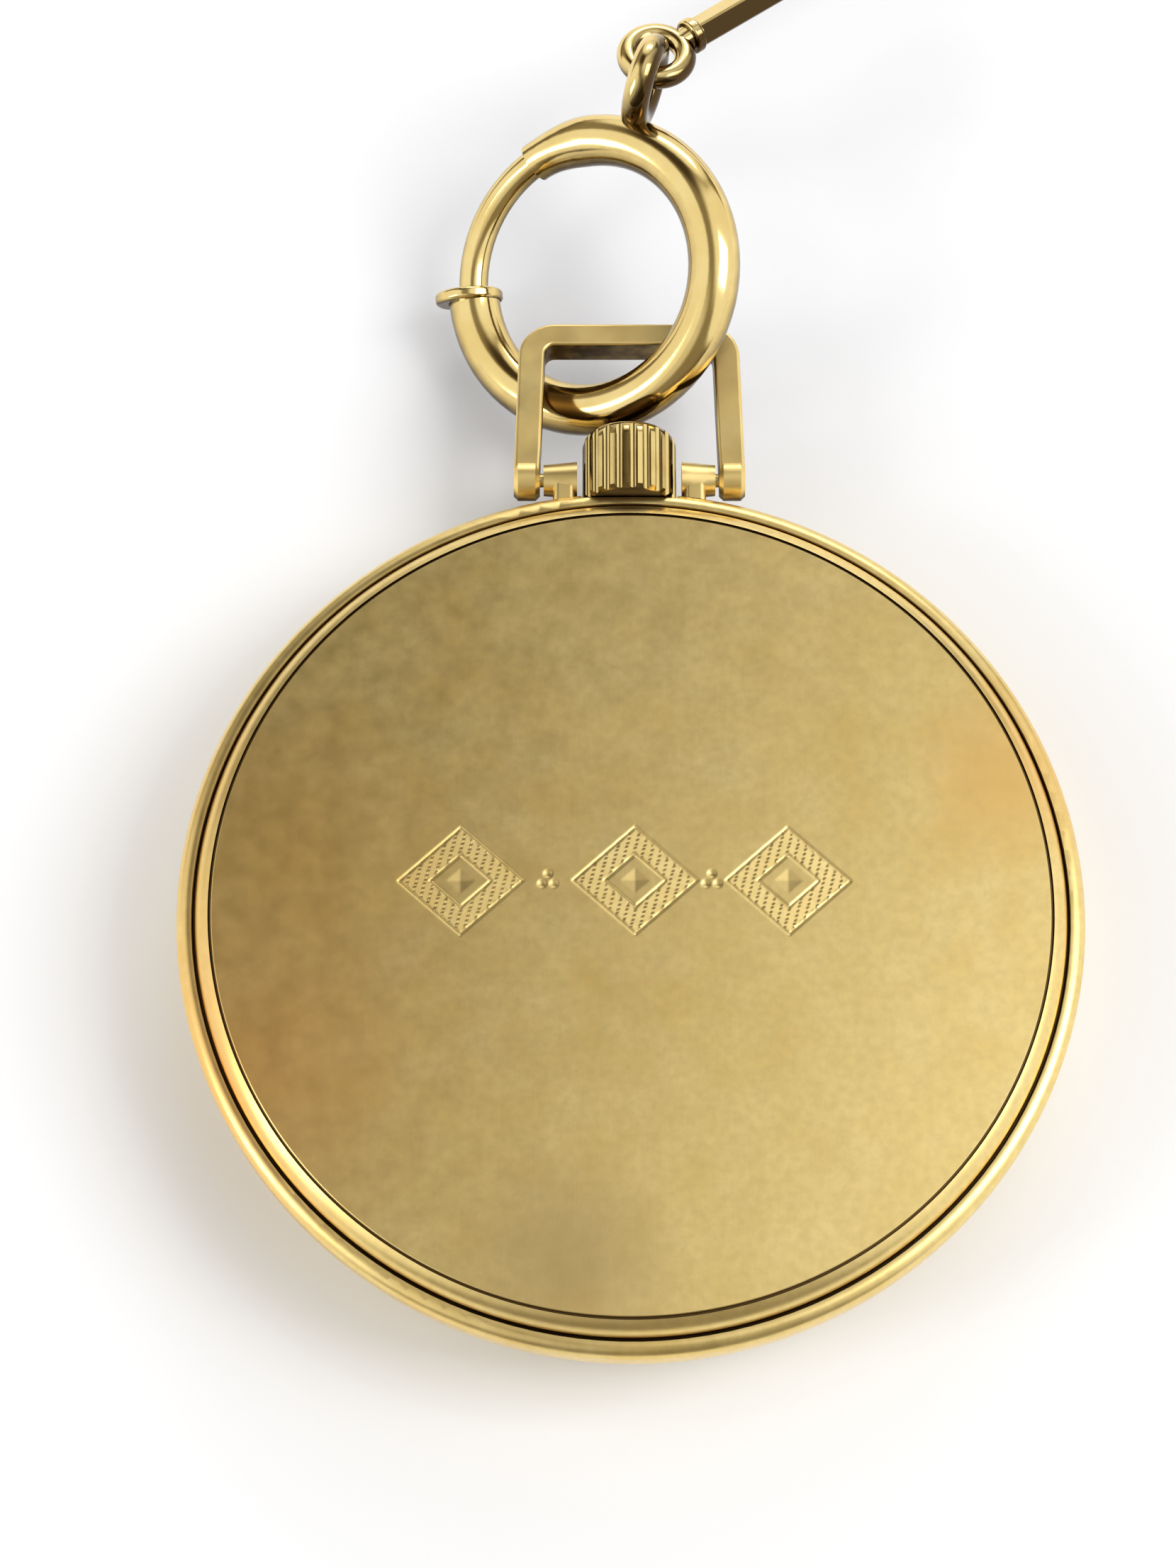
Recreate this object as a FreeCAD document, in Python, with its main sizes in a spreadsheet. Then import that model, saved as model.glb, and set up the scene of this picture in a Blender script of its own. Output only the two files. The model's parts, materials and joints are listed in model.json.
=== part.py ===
"""Open-face pocket watch, dial down, with a stirrup bow, a bolt ring and a bar link.

Frame: millimetres, +Z up out of the case back, +Y towards the winding crown. The origin is on the
case axis, on the flat outer face of the crystal, which is what the watch rests on.
"""
import FreeCAD, Part
import math
import os
import Sketcher
from FreeCAD import Placement, Rotation, Vector

DIMENSIONS = [
    # case
    ("case_radius", 22.5, "widest radius of the case band"),
    ("rim_height", 7.2, "height of the band's widest plane"),
    ("seam_radius", 21.64, "radius of the seam round the back cover"),
    ("seam_height", 7.72, "height of that seam"),
    ("field_radius", 20.74, "radius of the back's smooth field"),
    ("field_height", 8.62, "height of the field at its edge"),
    ("back_height", 9.1, "height of the back at its centre"),
    ("back_ceiling", 8.28, "height of the inner face of the back"),
    ("bezel_seam_radius", 21.45, "radius of the seam between band and bezel"),
    ("bezel_seam_height", 3.4, "height of that seam"),
    ("bezel_low", 0.6, "lowest edge of the bezel"),
    ("crystal_radius", 19.6, "outer radius of the crystal"),
    ("crystal_flat", 18.3, "radius of the crystal's flat face"),
    ("crystal_thick", 1.0, "thickness of the crystal"),
    ("window_radius", 18.6, "radius of the opening in the bezel"),
    ("inner_radius", 20.0, "inner radius of the band round the movement"),
    ("gap", 0.05, "gap of a running or snap fit"),
    # pendant, crown and bow
    ("stem_height", 6.6, "height of the stem, crown and bow axes"),
    ("crown_radius", 2.4, "radius over the crown's ridges"),
    ("crown_near", 22.15, "near face of the crown"),
    ("crown_far", 26.05, "far face of the crown"),
    ("crown_round", 0.9, "rounding of the crown's far edge"),
    ("crown_ridges", 21, "ridges round the crown"),
    ("flute_radius", 0.235, "radius of a flute between two ridges"),
    ("stem_radius", 0.6, "radius of the winding stem"),
    ("pin_reach", 23.46, "distance of the bow's axis from the case axis"),
    ("pin_radius", 0.35, "radius of the bow pins"),
    ("bow_foot_half", 5.92, "half width of the bow over its feet"),
    ("bow_top_half", 5.66, "half width of the bow at its top"),
    ("bow_length", 8.73, "bow axis to the outer face of the top bar"),
    ("bow_leg", 1.33, "width of a leg of the bow"),
    ("bow_bar", 1.22, "width of the bow's top bar"),
    ("bow_depth", 1.8, "depth of the bow"),
    ("bow_corner", 1.9, "outer radius of the bow's corners"),
    ("bow_foot_radius", 1.05, "radius of the bow's feet about the pins"),
    ("bow_droop", 5, "degrees that the bow lies below level"),
    # bolt ring and bar link
    ("ring_x", -1.89, "centre of the bolt ring"),
    ("ring_y", 35.07, "centre of the bolt ring"),
    ("ring_z", 6.58, "centre of the bolt ring"),
    ("ring_radius", 7.07, "radius of the ring's centre line"),
    ("ring_tube", 1.34, "radius of the ring's tube"),
    ("ring_tip", 1.05, "radius of the tube at its closed end"),
    ("ring_tilt", 27.8, "degrees that the ring leans over to the left"),
    ("ring_pitch", 15.5, "how far the ring's outer end is lifted, in degrees"),
    ("bolt_radius", 0.76, "radius of the bolt"),
    ("collar_radius", 1.78, "radius of the thumb collar"),
    ("eye_radius", 1.9, "radius of the eye's centre line"),
    ("eye_wire", 0.7, "radius of the eye's wire"),
    ("eye_reach", 10.3, "distance of the eye's centre from the ring's centre"),
    ("loop_radius", 1.5, "radius of the link loop's centre line"),
    ("loop_wire", 0.58, "radius of the loop's wire"),
    ("bar_width", 1.25, "side of the link's square bar"),
    ("neck_length", 1.15, "length of the neck between a loop and the bar"),
    ("bar_length", 17.0, "length of the bar between its loops"),
    # dial side
    ("dial_low", 4.35, "visible face of the dial"),
    ("dial_radius", 19.5, "radius of the dial"),
    ("minute_length", 15.4, "length of the minute hand"),
    ("hour_length", 10.2, "length of the hour hand"),
    ("second_length", 3.9, "length of the seconds hand"),
    # movement
    ("plate_low", 4.7, "dial side of the main plate"),
    ("plate_high", 5.9, "bridge side of the main plate"),
    ("plate_radius", 19.0, "radius of the main plate"),
    ("bridge_low", 7.2, "underside of the bridges"),
    ("bridge_high", 7.8, "top of the bridges"),
    ("barrel_x", -6.8, "barrel axis"),
    ("barrel_y", 5.9, "barrel axis"),
    ("third_x", 4.75, "third wheel axis"),
    ("third_y", -5.41, "third wheel axis"),
    ("fourth_y", -9.0, "fourth wheel axis, under the small seconds"),
    ("escape_x", -5.0, "escape wheel axis"),
    ("escape_y", -10.7, "escape wheel axis"),
    ("pallet_x", -7.57, "pallet fork axis"),
    ("pallet_y", -8.96, "pallet fork axis"),
    ("balance_x", -10.9, "balance axis"),
    ("balance_y", -6.7, "balance axis"),
    ("balance_radius", 5.0, "radius of the balance rim"),
    ("minute_wheel_x", -1.0, "minute wheel axis"),
    ("minute_wheel_y", 4.7, "minute wheel axis"),
    ("setting_x", 0.5, "setting wheel axis"),
    ("setting_y", 9.7, "setting wheel axis"),
    ("crown_wheel_x", 0.6, "crown wheel axis"),
    ("crown_wheel_y", 10.66, "crown wheel axis"),
    ("barrel_teeth", 78, "teeth of the barrel"),
    ("centre_pinion_teeth", 12, "leaves of the centre pinion"),
    ("centre_teeth", 80, "teeth of the centre wheel"),
    ("third_pinion_teeth", 10, "leaves of the third pinion"),
    ("third_teeth", 75, "teeth of the third wheel"),
    ("fourth_pinion_teeth", 10, "leaves of the fourth pinion"),
    ("fourth_teeth", 80, "teeth of the fourth wheel"),
    ("escape_pinion_teeth", 8, "leaves of the escape pinion"),
    ("escape_teeth", 15, "teeth of the escape wheel"),
    ("ratchet_teeth", 50, "teeth of the ratchet wheel"),
    ("crown_wheel_teeth", 30, "teeth of the crown wheel"),
    ("cannon_teeth", 12, "leaves of the cannon pinion"),
    ("minute_teeth", 36, "teeth of the minute wheel"),
    ("minute_pinion_teeth", 10, "leaves of the minute pinion"),
    ("hour_teeth", 40, "teeth of the hour wheel"),
    ("setting_teeth", 16, "teeth of the setting wheel"),
]

doc = FreeCAD.newDocument("pocket_watch")
sheet = doc.addObject("Spreadsheet::Sheet", "Sheet")
for row, (alias, number, note) in enumerate(DIMENSIONS, start=1):
    sheet.set(f"A{row}", note)
    sheet.set(f"B{row}", str(number))
    sheet.setAlias(f"B{row}", alias)
doc.recompute()
NAMES = {alias for alias, number, note in DIMENSIONS}
UP = Vector(0, 0, 1)
DOME = "dome"
# angles round the bolt ring, in its own plane: the bored mouth, the start of the taper and the
# small end that meets the mouth, and the soldered eye
MOUTH = 184
TAPER = 450
TIP = 479
EYE_ANGLE = 72.5
# the eye's plane is turned this far about its own spoke
EYE_TURN = 48
# the way the bar link points, and how far its uppermost face is turned about the bar
BAR_DIRECTION = Vector(0.80, 0.62, -0.20).normalize()
EDGE_TURN = 40
# keyless works: where the stem's channel starts, and the studs that the two levers turn on
CHANNEL_START = 11.42
LEVER_PIVOT = (3.6, 14.2)
YOKE_PIVOT = (4.2, 12.6)
pieces = []


# ---------------------------------------------------------------- expressions and placing

def size(name):
    """The number that the sheet holds under this alias."""
    return float(sheet.get(name))


def amount(text):
    """The value of a sum such as "rim_height - 2*gap", read from the sheet."""
    total = 0.0
    sign = 1
    for word in str(text).split():
        if word in "+-":
            sign = 1 if word == "+" else -1
            continue
        term = math.prod(size(part) if part in NAMES else float(part) for part in word.split("*"))
        total += sign * term
        sign = 1
    return total


def bound(text):
    """The same sum as an expression on the sheet's cells."""
    words = []
    for word in str(text).split():
        words.append("*".join(f"Sheet.{part}" if part in NAMES else part for part in word.split("*")))
    return " ".join(words)


def keep(thing, label):
    """Name a finished sub-part and put it on the list of pieces."""
    thing.Label = label
    pieces.append(thing)
    return thing


def place(thing, x=0, y=0, z=0, rotation=Rotation()):
    """Put a sub-part where the sheet says."""
    thing.Placement = Placement(Vector(amount(x), amount(y), amount(z)), rotation)
    for axis, text in (("x", x), ("y", y), ("z", z)):
        if not isinstance(text, (int, float)):
            thing.setExpression(f"Placement.Base.{axis}", bound(text))
    return thing


def part_of_code(label, shape):
    """A sub-part whose shape is worked out by a formula or a loop."""
    feature = doc.addObject("Part::Feature", label)
    feature.Shape = shape
    feature.Placement = shape.Placement
    return keep(feature, label)


# ---------------------------------------------------------------- bodies

def new_body(name):
    return doc.addObject("PartDesign::Body", name)


def sketch_on(body, role, name, lift=None):
    """A sketch on one of the body's own origin planes, lifted along its normal if asked."""
    sketch = body.newObject("Sketcher::SketchObject", name)
    plane = [f for f in body.Origin.OriginFeatures if f.Role == role][0]
    sketch.AttachmentSupport = [(plane, "")]
    sketch.MapMode = "FlatFace"
    if lift is not None:
        sketch.AttachmentOffset = Placement(Vector(0, 0, amount(lift)), Rotation())
        sketch.setExpression("AttachmentOffset.Base.z", bound(lift))
    return sketch


def draw_outline(sketch, corners):
    """Draw a closed outline. A corner is (x, y), or (x, y, rise) where the side after it is an arc
    whose middle stands that far to the left of the side, or a dome. Every corner is bound to the
    sheet."""
    points = [Vector(amount(c[0]), amount(c[1]), 0) for c in corners]
    for index, corner in enumerate(corners):
        start = points[index]
        end = points[(index + 1) % len(points)]
        if len(corner) == 3:
            sketch.addGeometry(Part.Arc(start, bulge(start, end, corner[2]), end), False)
        else:
            sketch.addGeometry(Part.LineSegment(start, end), False)
    for index, corner in enumerate(corners):
        previous = (index - 1) % len(corners)
        first = end_at(sketch, index, points[index])
        last = end_at(sketch, previous, points[index])
        sketch.addConstraint(Sketcher.Constraint("Coincident", index, first, previous, last))
        pin_down(sketch, index, first, corner[0], corner[1])
        if len(corner) == 3 and corner[2] == DOME:
            sketch.addConstraint(Sketcher.Constraint("PointOnObject", index, 3, -2))
        elif len(corner) == 3:
            sketch.addConstraint(Sketcher.Constraint("Radius", index, sketch.Geometry[index].Radius))


def bulge(start, end, rise):
    """The middle of an arc that stands by rise to the left of its side. A dome's arc has its centre
    on the axis and ends there."""
    half = (start + end) * 0.5
    if rise != DOME:
        chord = end - start
        return half + Vector(-chord.y, chord.x, 0).normalize() * rise
    height = end.y - start.y
    radius = (start.x ** 2 + height ** 2) / (2 * height)
    centre = Vector(0, end.y - radius, 0)
    return centre + (half - centre).normalize() * radius


def end_at(sketch, side, point):
    """The sketch's number for the end of a side that lies at a point."""
    return 1 if (sketch.getPoint(side, 1) - point).Length < 1e-6 else 2


def pin_down(sketch, item, end, x, y):
    """Hold a point of the sketch at two distances from its origin, bound to the sheet."""
    for kind, text, axis in (("DistanceX", x, -2), ("DistanceY", y, -1)):
        if abs(amount(text)) < 1e-9:
            sketch.addConstraint(Sketcher.Constraint("PointOnObject", item, end, axis))
            continue
        number = sketch.addConstraint(Sketcher.Constraint(kind, -1, 1, item, end, amount(text)))
        if not isinstance(text, (int, float)):
            sketch.setExpression(f"Constraints[{number}]", bound(text))


def draw_circle(sketch, x, y, radius):
    """Draw a circle that is bound to the sheet."""
    centre = Vector(amount(x), amount(y), 0)
    item = sketch.addGeometry(Part.Circle(centre, Vector(0, 0, 1), amount(radius)), False)
    number = sketch.addConstraint(Sketcher.Constraint("Radius", item, amount(radius)))
    if not isinstance(radius, (int, float)):
        sketch.setExpression(f"Constraints[{number}]", bound(radius))
    pin_down(sketch, item, 3, x, y)


def turned(name, corners):
    """A body turned about Z from an outline of (radius, height) corners."""
    body = new_body(name)
    sketch = sketch_on(body, "XZ_Plane", name + "_outline")
    draw_outline(sketch, corners)
    turn = body.newObject("PartDesign::Revolution", name + "_turned")
    turn.Profile = sketch
    turn.ReferenceAxis = (sketch, ["V_Axis"])
    turn.Angle = 360
    doc.recompute()
    return body


def padded(name, corners, low, thick, holes=()):
    """A flat body: an outline, or a circle given as its radius, with round holes."""
    body = new_body(name)
    sketch = sketch_on(body, "XY_Plane", name + "_outline", low)
    if isinstance(corners, str):
        draw_circle(sketch, 0, 0, corners)
    else:
        draw_outline(sketch, corners)
    for x, y, radius in holes:
        draw_circle(sketch, x, y, radius)
    pad = body.newObject("PartDesign::Pad", name + "_pad")
    pad.Profile = sketch
    pad.Length = amount(thick)
    if not isinstance(thick, (int, float)):
        pad.setExpression("Length", bound(thick))
    doc.recompute()
    return body


# ---------------------------------------------------------------- shapes worked out by code

def cylinder(x, y, low, high, radius):
    """An upright cylinder between two heights."""
    base = Vector(amount(x), amount(y), amount(low))
    return Part.makeCylinder(amount(radius), amount(high) - amount(low), base)


def ring_of(x, y, low, high, radius, hole):
    """An upright tube."""
    return cylinder(x, y, low, high, radius).cut(cylinder(x, y, low, high, hole))


def rod_y(x, z, near, far, radius):
    """A cylinder along Y."""
    base = Vector(amount(x), amount(near), amount(z))
    return Part.makeCylinder(amount(radius), amount(far) - amount(near), base, Vector(0, 1, 0))


def slab(points, low, high):
    """A flat shape with straight sides, between two heights."""
    bottom = amount(low)
    corners = [Vector(x, y, bottom) for x, y in points]
    face = Part.Face(Part.makePolygon(corners + corners[:1]))
    return face.extrude(Vector(0, 0, amount(high) - bottom))


def turned_at(x, y, steps):
    """Cylinders stacked on one axis, each given as (low, high, radius)."""
    solids = [cylinder(x, y, low, high, radius) for low, high, radius in steps]
    shape = solids[0]
    for solid in solids[1:]:
        shape = shape.fuse(solid)
    return shape.removeSplitter()


def toothed(x, y, low, high, teeth, module, phase=0.0, addendum=0.9, dedendum=1.15):
    """A toothed disc. A tooth stands at the angle phase, in degrees. Its flanks narrow outwards and
    fill less than half of the pitch, which leaves the backlash that a watch train has."""
    count = int(amount(teeth))
    pitch_radius = count * module / 2
    root = pitch_radius - dedendum * module
    tip = pitch_radius + addendum * module
    pitch = 2 * math.pi / count
    root_half = 0.27 * pitch if count > 14 else 0.22 * pitch
    tip_half = 0.10 * pitch
    corners = []
    for index in range(count):
        middle = math.radians(phase) + index * pitch
        for radius, turn in ((root, -root_half), (tip, -tip_half), (tip, tip_half), (root, root_half)):
            corners.append((amount(x) + radius * math.cos(middle + turn),
                            amount(y) + radius * math.sin(middle + turn)))
    return slab(corners, low, high)


def spoked(wheel, x, y, low, high, inner, outer, spokes):
    """Cut the windows between the spokes of a wheel."""
    for index in range(spokes):
        start = 360 / spokes * index
        width = 360 / spokes
        window = ring_of(x, y, low, high, outer, inner)
        wedge = pie(x, y, low, high, outer + 1, start + 0.16 * width, start + 0.84 * width)
        wheel = wheel.cut(window.common(wedge))
    return wheel


def pie(x, y, low, high, radius, start, end):
    """A slice of a disc between two angles, under half a turn."""
    middle = math.radians((start + end) / 2)
    points = [(amount(x), amount(y))]
    for angle in (math.radians(start), middle, math.radians(end)):
        reach = 1.5 * radius
        points.append((amount(x) + reach * math.cos(angle), amount(y) + reach * math.sin(angle)))
    return slab(points, low, high)


def screw(x, y, low, high, radius, shank_low, shank_radius):
    """A slotted screw, head up."""
    head = cylinder(x, y, low, high, radius)
    head = head.makeChamfer(0.05, [e for e in head.Edges if e.BoundBox.ZMin > amount(high) - 0.01])
    body = head.fuse(cylinder(x, y, shank_low, low, shank_radius))
    slot = Part.makeBox(2.2 * radius, 0.28 * radius, 0.12,
                        Vector(amount(x) - 1.1 * radius, amount(y) - 0.14 * radius, amount(high) - 0.12))
    slot.rotate(Vector(amount(x), amount(y), 0), UP, 37 * (amount(x) + amount(y)) % 180)
    return body.cut(slot)


def outward(angle, radius):
    """A point on a circle about the case axis."""
    return radius * math.cos(math.radians(angle)), radius * math.sin(math.radians(angle))


def arc_tube(centre, radius, tube, start, end, end_tube=None):
    """A tube bent round +Z through centre, from one angle to another. With end_tube it tapers."""
    first = centre + Vector(*outward(start, radius), 0)
    direction = Vector(-math.sin(math.radians(start)), math.cos(math.radians(start)), 0)
    disc = Part.Face(Part.Wire(Part.makeCircle(tube, first, direction)))
    if end_tube is None:
        return disc.revolve(centre, UP, end - start)
    steps = 4
    circles = []
    for step in range(steps + 1):
        share = step / steps
        angle = start + (end - start) * share
        middle = centre + Vector(*outward(angle, radius), 0)
        normal = Vector(-math.sin(math.radians(angle)), math.cos(math.radians(angle)), 0)
        eased = tube + (end_tube - tube) * (3 * share ** 2 - 2 * share ** 3)
        circles.append(Part.Wire(Part.makeCircle(eased, middle, normal)))
    return Part.makeLoft(circles, True)


# ---------------------------------------------------------------- case

def case():
    """Band with its stem hole and crown seat, back cover, bezel, crystal and case screws."""
    band = turned("band_ring", [
        ("dial_radius + 3*gap", "bezel_seam_height"),
        ("bezel_seam_radius", "bezel_seam_height", -0.30),
        ("case_radius", "rim_height", -0.17),
        ("seam_radius + 2*gap", "seam_height"),
        ("seam_radius", "seam_height - 3*gap"),
        ("seam_radius", "seam_height - 6*gap"),
        ("inner_radius + 0.9", "seam_height - 6*gap"),
        ("inner_radius + 0.9", "bridge_low"),
        ("inner_radius", "bridge_low"),
        ("inner_radius", "plate_high"),
        ("plate_radius + gap", "plate_high"),
        ("plate_radius + gap", "plate_low + gap"),
        ("dial_radius + 3*gap", "plate_low + gap")])
    seat = doc.addObject("Part::Cylinder", "crown_seat")
    hole = doc.addObject("Part::Cylinder", "stem_hole")
    for tool, radius, near in ((seat, "crown_radius + 4*gap", "crown_near - gap"),
                               (hole, "stem_radius + 0.03", "inner_radius - 3")):
        tool.setExpression("Radius", bound(radius))
        tool.Height = 6
        place(tool, 0, near, "stem_height", Rotation(Vector(1, 0, 0), -90))
    drilled = doc.addObject("Part::MultiFuse", "band_tools")
    drilled.Shapes = [seat, hole]
    cut = doc.addObject("Part::Cut", "band_cut")
    cut.Base = band
    cut.Tool = drilled
    keep(cut, "case_band")

    keep(turned("back_cover", [
        (0, "back_ceiling"),
        ("inner_radius - 0.5", "back_ceiling"),
        ("inner_radius + 0.25", "back_ceiling - 0.3"),
        ("inner_radius + 0.25", "bridge_low + gap"),
        ("inner_radius + 0.85", "bridge_low + gap"),
        ("inner_radius + 0.85", "seam_height - 5*gap"),
        ("seam_radius - gap", "seam_height - 5*gap"),
        ("seam_radius - gap", "seam_height - gap", -0.13),
        ("field_radius + 0.12", "field_height - 0.03"),
        ("field_radius + 0.06", "field_height - 0.16"),
        ("field_radius", "field_height - 0.16"),
        ("field_radius", "field_height - 0.05"),
        ("field_radius - 0.07", "field_height", DOME),
        (0, "back_height")]), "back_cover")

    keep(turned("bezel", [
        ("crystal_radius + 0.4", "bezel_low", -0.22),
        ("bezel_seam_radius", "bezel_seam_height - gap"),
        ("dial_radius", "bezel_seam_height - gap"),
        ("dial_radius", "dial_low - 2*gap"),
        ("window_radius + 0.2", "dial_low - 2*gap"),
        ("window_radius", "bezel_low + 1.2"),
        ("crystal_radius + gap", "bezel_low + 1.2"),
        ("crystal_radius + gap", "bezel_low + 0.15"),
        ("crystal_radius + 0.15", "bezel_low")]), "bezel")

    keep(turned("crystal", [
        (0, 0),
        ("crystal_flat", 0, -0.06),
        ("crystal_radius", "bezel_low + 0.1"),
        ("crystal_radius", "bezel_low + 1.15"),
        ("window_radius + 0.1", "bezel_low + 1.15"),
        ("crystal_flat - 0.3", "crystal_thick"),
        (0, "crystal_thick")]), "crystal")

    part_of_code("case_screws", Part.makeCompound(case_screws()))


def case_screws():
    """Three screws whose heads clamp the plate against the band."""
    clamps = []
    for angle in (35, 155, 270):
        x, y = outward(angle, amount("plate_radius - 0.75"))
        clamps.append(screw(x, y, "plate_high", "plate_high + 0.35", 1.15, "plate_high - 0.7", 0.4))
    return clamps


# ---------------------------------------------------------------- pendant, crown and bow

def lugs():
    """Two bored bosses on posts, soldered to the band beside the crown."""
    height = amount("stem_height")
    reach = amount("pin_reach")
    inner = amount("crown_radius + 0.28")
    outer = amount("bow_foot_half - bow_leg - 0.2")
    band = piece_called("case_band").fuse(cylinder(0, 0, 0, 12, "case_radius - 0.95"))
    both = []
    for side in (-1, 1):
        boss = Part.makeCone(0.96, 0.80, outer - inner, Vector(side * inner, reach, height),
                             Vector(side, 0, 0))
        width = 1.15
        left = side * (inner + 0.08) if side > 0 else side * (inner + 0.08) - width
        post = Part.makeBox(width, reach - 21.5, 1.5, Vector(left, 21.5, height - 0.75))
        post = post.makeFillet(0.3, [e for e in post.Edges if abs(e.tangentAt(0).y) > 0.9])
        lug = boss.fuse(post).removeSplitter().cut(band)
        bore = Part.makeCylinder(amount("pin_radius"), 3, Vector(side * (inner + 0.4), reach, height),
                                 Vector(side, 0, 0))
        both.append(lug.cut(bore))
    part_of_code("bow_lugs", Part.makeCompound(both))


def piece_called(label):
    """The shape of a finished piece."""
    return [piece for piece in pieces if piece.Label == label][0].Shape


def bow_pins():
    """Two pins with domed heads, pressed into the lugs, that the bow turns on."""
    inner = amount("crown_radius + 0.68")
    outer = amount("bow_foot_half + 0.02")
    for side, label in ((-1, "bow_pin_left"), (1, "bow_pin_right")):
        shank = Part.makeCylinder(amount("pin_radius"), outer - inner,
                                  Vector(side * inner, amount("pin_reach"), amount("stem_height")),
                                  Vector(side, 0, 0))
        rims = [e for e in shank.Edges if abs(e.BoundBox.XMin - side * outer) < 0.01
                and abs(e.BoundBox.XMax - side * outer) < 0.01]
        part_of_code(label, shank.makeFillet(0.12, rims))


def bow():
    """Stirrup bow: two legs that widen a little to their feet, a top bar and bored feet."""
    body = new_body("bow_blank")
    sketch = sketch_on(body, "XY_Plane", "bow_outline", "-0.5*bow_depth")
    foot = "bow_foot_half"
    top = "bow_top_half"
    draw_outline(sketch, [
        ("-1*" + foot, 0),
        ("-1*" + foot + " + bow_leg", 0),
        ("-1*" + top + " + bow_leg", "bow_length - bow_bar"),
        (top + " - bow_leg", "bow_length - bow_bar"),
        (foot + " - bow_leg", 0),
        (foot, 0),
        (top, "bow_length"),
        ("-1*" + top, "bow_length")])
    pad = body.newObject("PartDesign::Pad", "bow_pad")
    pad.Profile = sketch
    pad.setExpression("Length", bound("bow_depth"))
    doc.recompute()
    frame = body.Shape
    upright = [e for e in frame.Edges if e.BoundBox.ZLength > 1]
    outside = [e for e in upright if e.BoundBox.YMin > amount("bow_length") - 0.01]
    frame = frame.makeFillet(amount("bow_corner"), outside)
    inside = [e for e in frame.Edges if e.BoundBox.ZLength > 1 and e.BoundBox.YLength < 0.01
              and abs(e.BoundBox.YMin - amount("bow_length - bow_bar")) < 0.01]
    frame = frame.makeFillet(0.5, inside)
    foot_radius = amount("bow_foot_radius")
    inner = amount("bow_foot_half - bow_leg")
    feet = []
    for side in (-1, 1):
        feet.append(Part.makeCylinder(foot_radius, amount("bow_leg"), Vector(side * inner, 0, 0),
                                      Vector(side, 0, 0)))
    level = [e for e in frame.Edges if e.BoundBox.ZLength < 0.01 and e.BoundBox.YMax > 0.01]
    rounded = frame.makeFillet(0.16, level)
    for end in feet:
        softened = end.makeChamfer(0.22, end.Edges[:1] + end.Edges[2:])
        rounded = rounded.fuse(softened)
    for side in (-1, 1):
        bore = Part.makeCylinder(amount("pin_radius + 0.03"), 3, Vector(side * (inner - 0.5), 0, 0),
                                 Vector(side, 0, 0))
        rounded = rounded.cut(bore)
    rounded.rotate(Vector(), Vector(1, 0, 0), -amount("bow_droop"))
    rounded.translate(Vector(0, amount("pin_reach"), amount("stem_height")))
    part_of_code("bow", rounded)


def crown():
    """Crown: a capped cylinder with round flutes that run out over its far edge."""
    body = turned("crown_blank", [
        (0, 0),
        ("crown_radius - 0.25", 0),
        ("crown_radius", 0.2),
        ("crown_radius", "crown_far - crown_near - crown_round", -0.26),
        ("crown_radius - crown_round", "crown_far - crown_near"),
        (0, "crown_far - crown_near")])
    flutes = body.newObject("Sketcher::SketchObject", "flute_outline")
    plane = [f for f in body.Origin.OriginFeatures if f.Role == "XY_Plane"][0]
    flutes.AttachmentSupport = [(plane, "")]
    flutes.MapMode = "FlatFace"
    draw_circle(flutes, "crown_radius + 0.02", 0, "flute_radius")
    pocket = body.newObject("PartDesign::Pocket", "flute")
    pocket.Profile = flutes
    pocket.Type = 1
    pocket.Reversed = True
    doc.recompute()
    pattern = body.newObject("PartDesign::PolarPattern", "flutes")
    pattern.Originals = [pocket]
    pattern.Axis = (flutes, ["N_Axis"])
    pattern.Angle = 360
    pattern.setExpression("Occurrences", bound("crown_ridges"))
    body.Tip = pattern
    doc.recompute()
    place(body, 0, "crown_near", "stem_height", Rotation(Vector(1, 0, 0), -90))
    keep(body, "crown")


def stem():
    """Winding stem with the lever's groove, the square for the clutch and a pilot."""
    height = amount("stem_height")
    rod = rod_y(0, height, 14.0, "crown_near", "stem_radius")
    groove = rod_y(0, height, 15.25, 16.0, 0.8).cut(rod_y(0, height, 15.25, 16.0, 0.33))
    square = Part.makeBox(0.8, 2.0, 0.8, Vector(-0.4, 12.0, height - 0.4))
    part_of_code("winding_stem", rod.cut(groove).fuse(square))


# ---------------------------------------------------------------- bolt ring and bar link

def ring_frame():
    """The placement of the bolt ring: its own XY plane leans to the left, with its outer end up."""
    centre = Vector(amount("ring_x"), amount("ring_y"), amount("ring_z"))
    lean = Rotation(Vector(0, 1, 0), -amount("ring_tilt"))
    return Placement(centre, Rotation(Vector(1, 0, 0), amount("ring_pitch")).multiply(lean))


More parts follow.
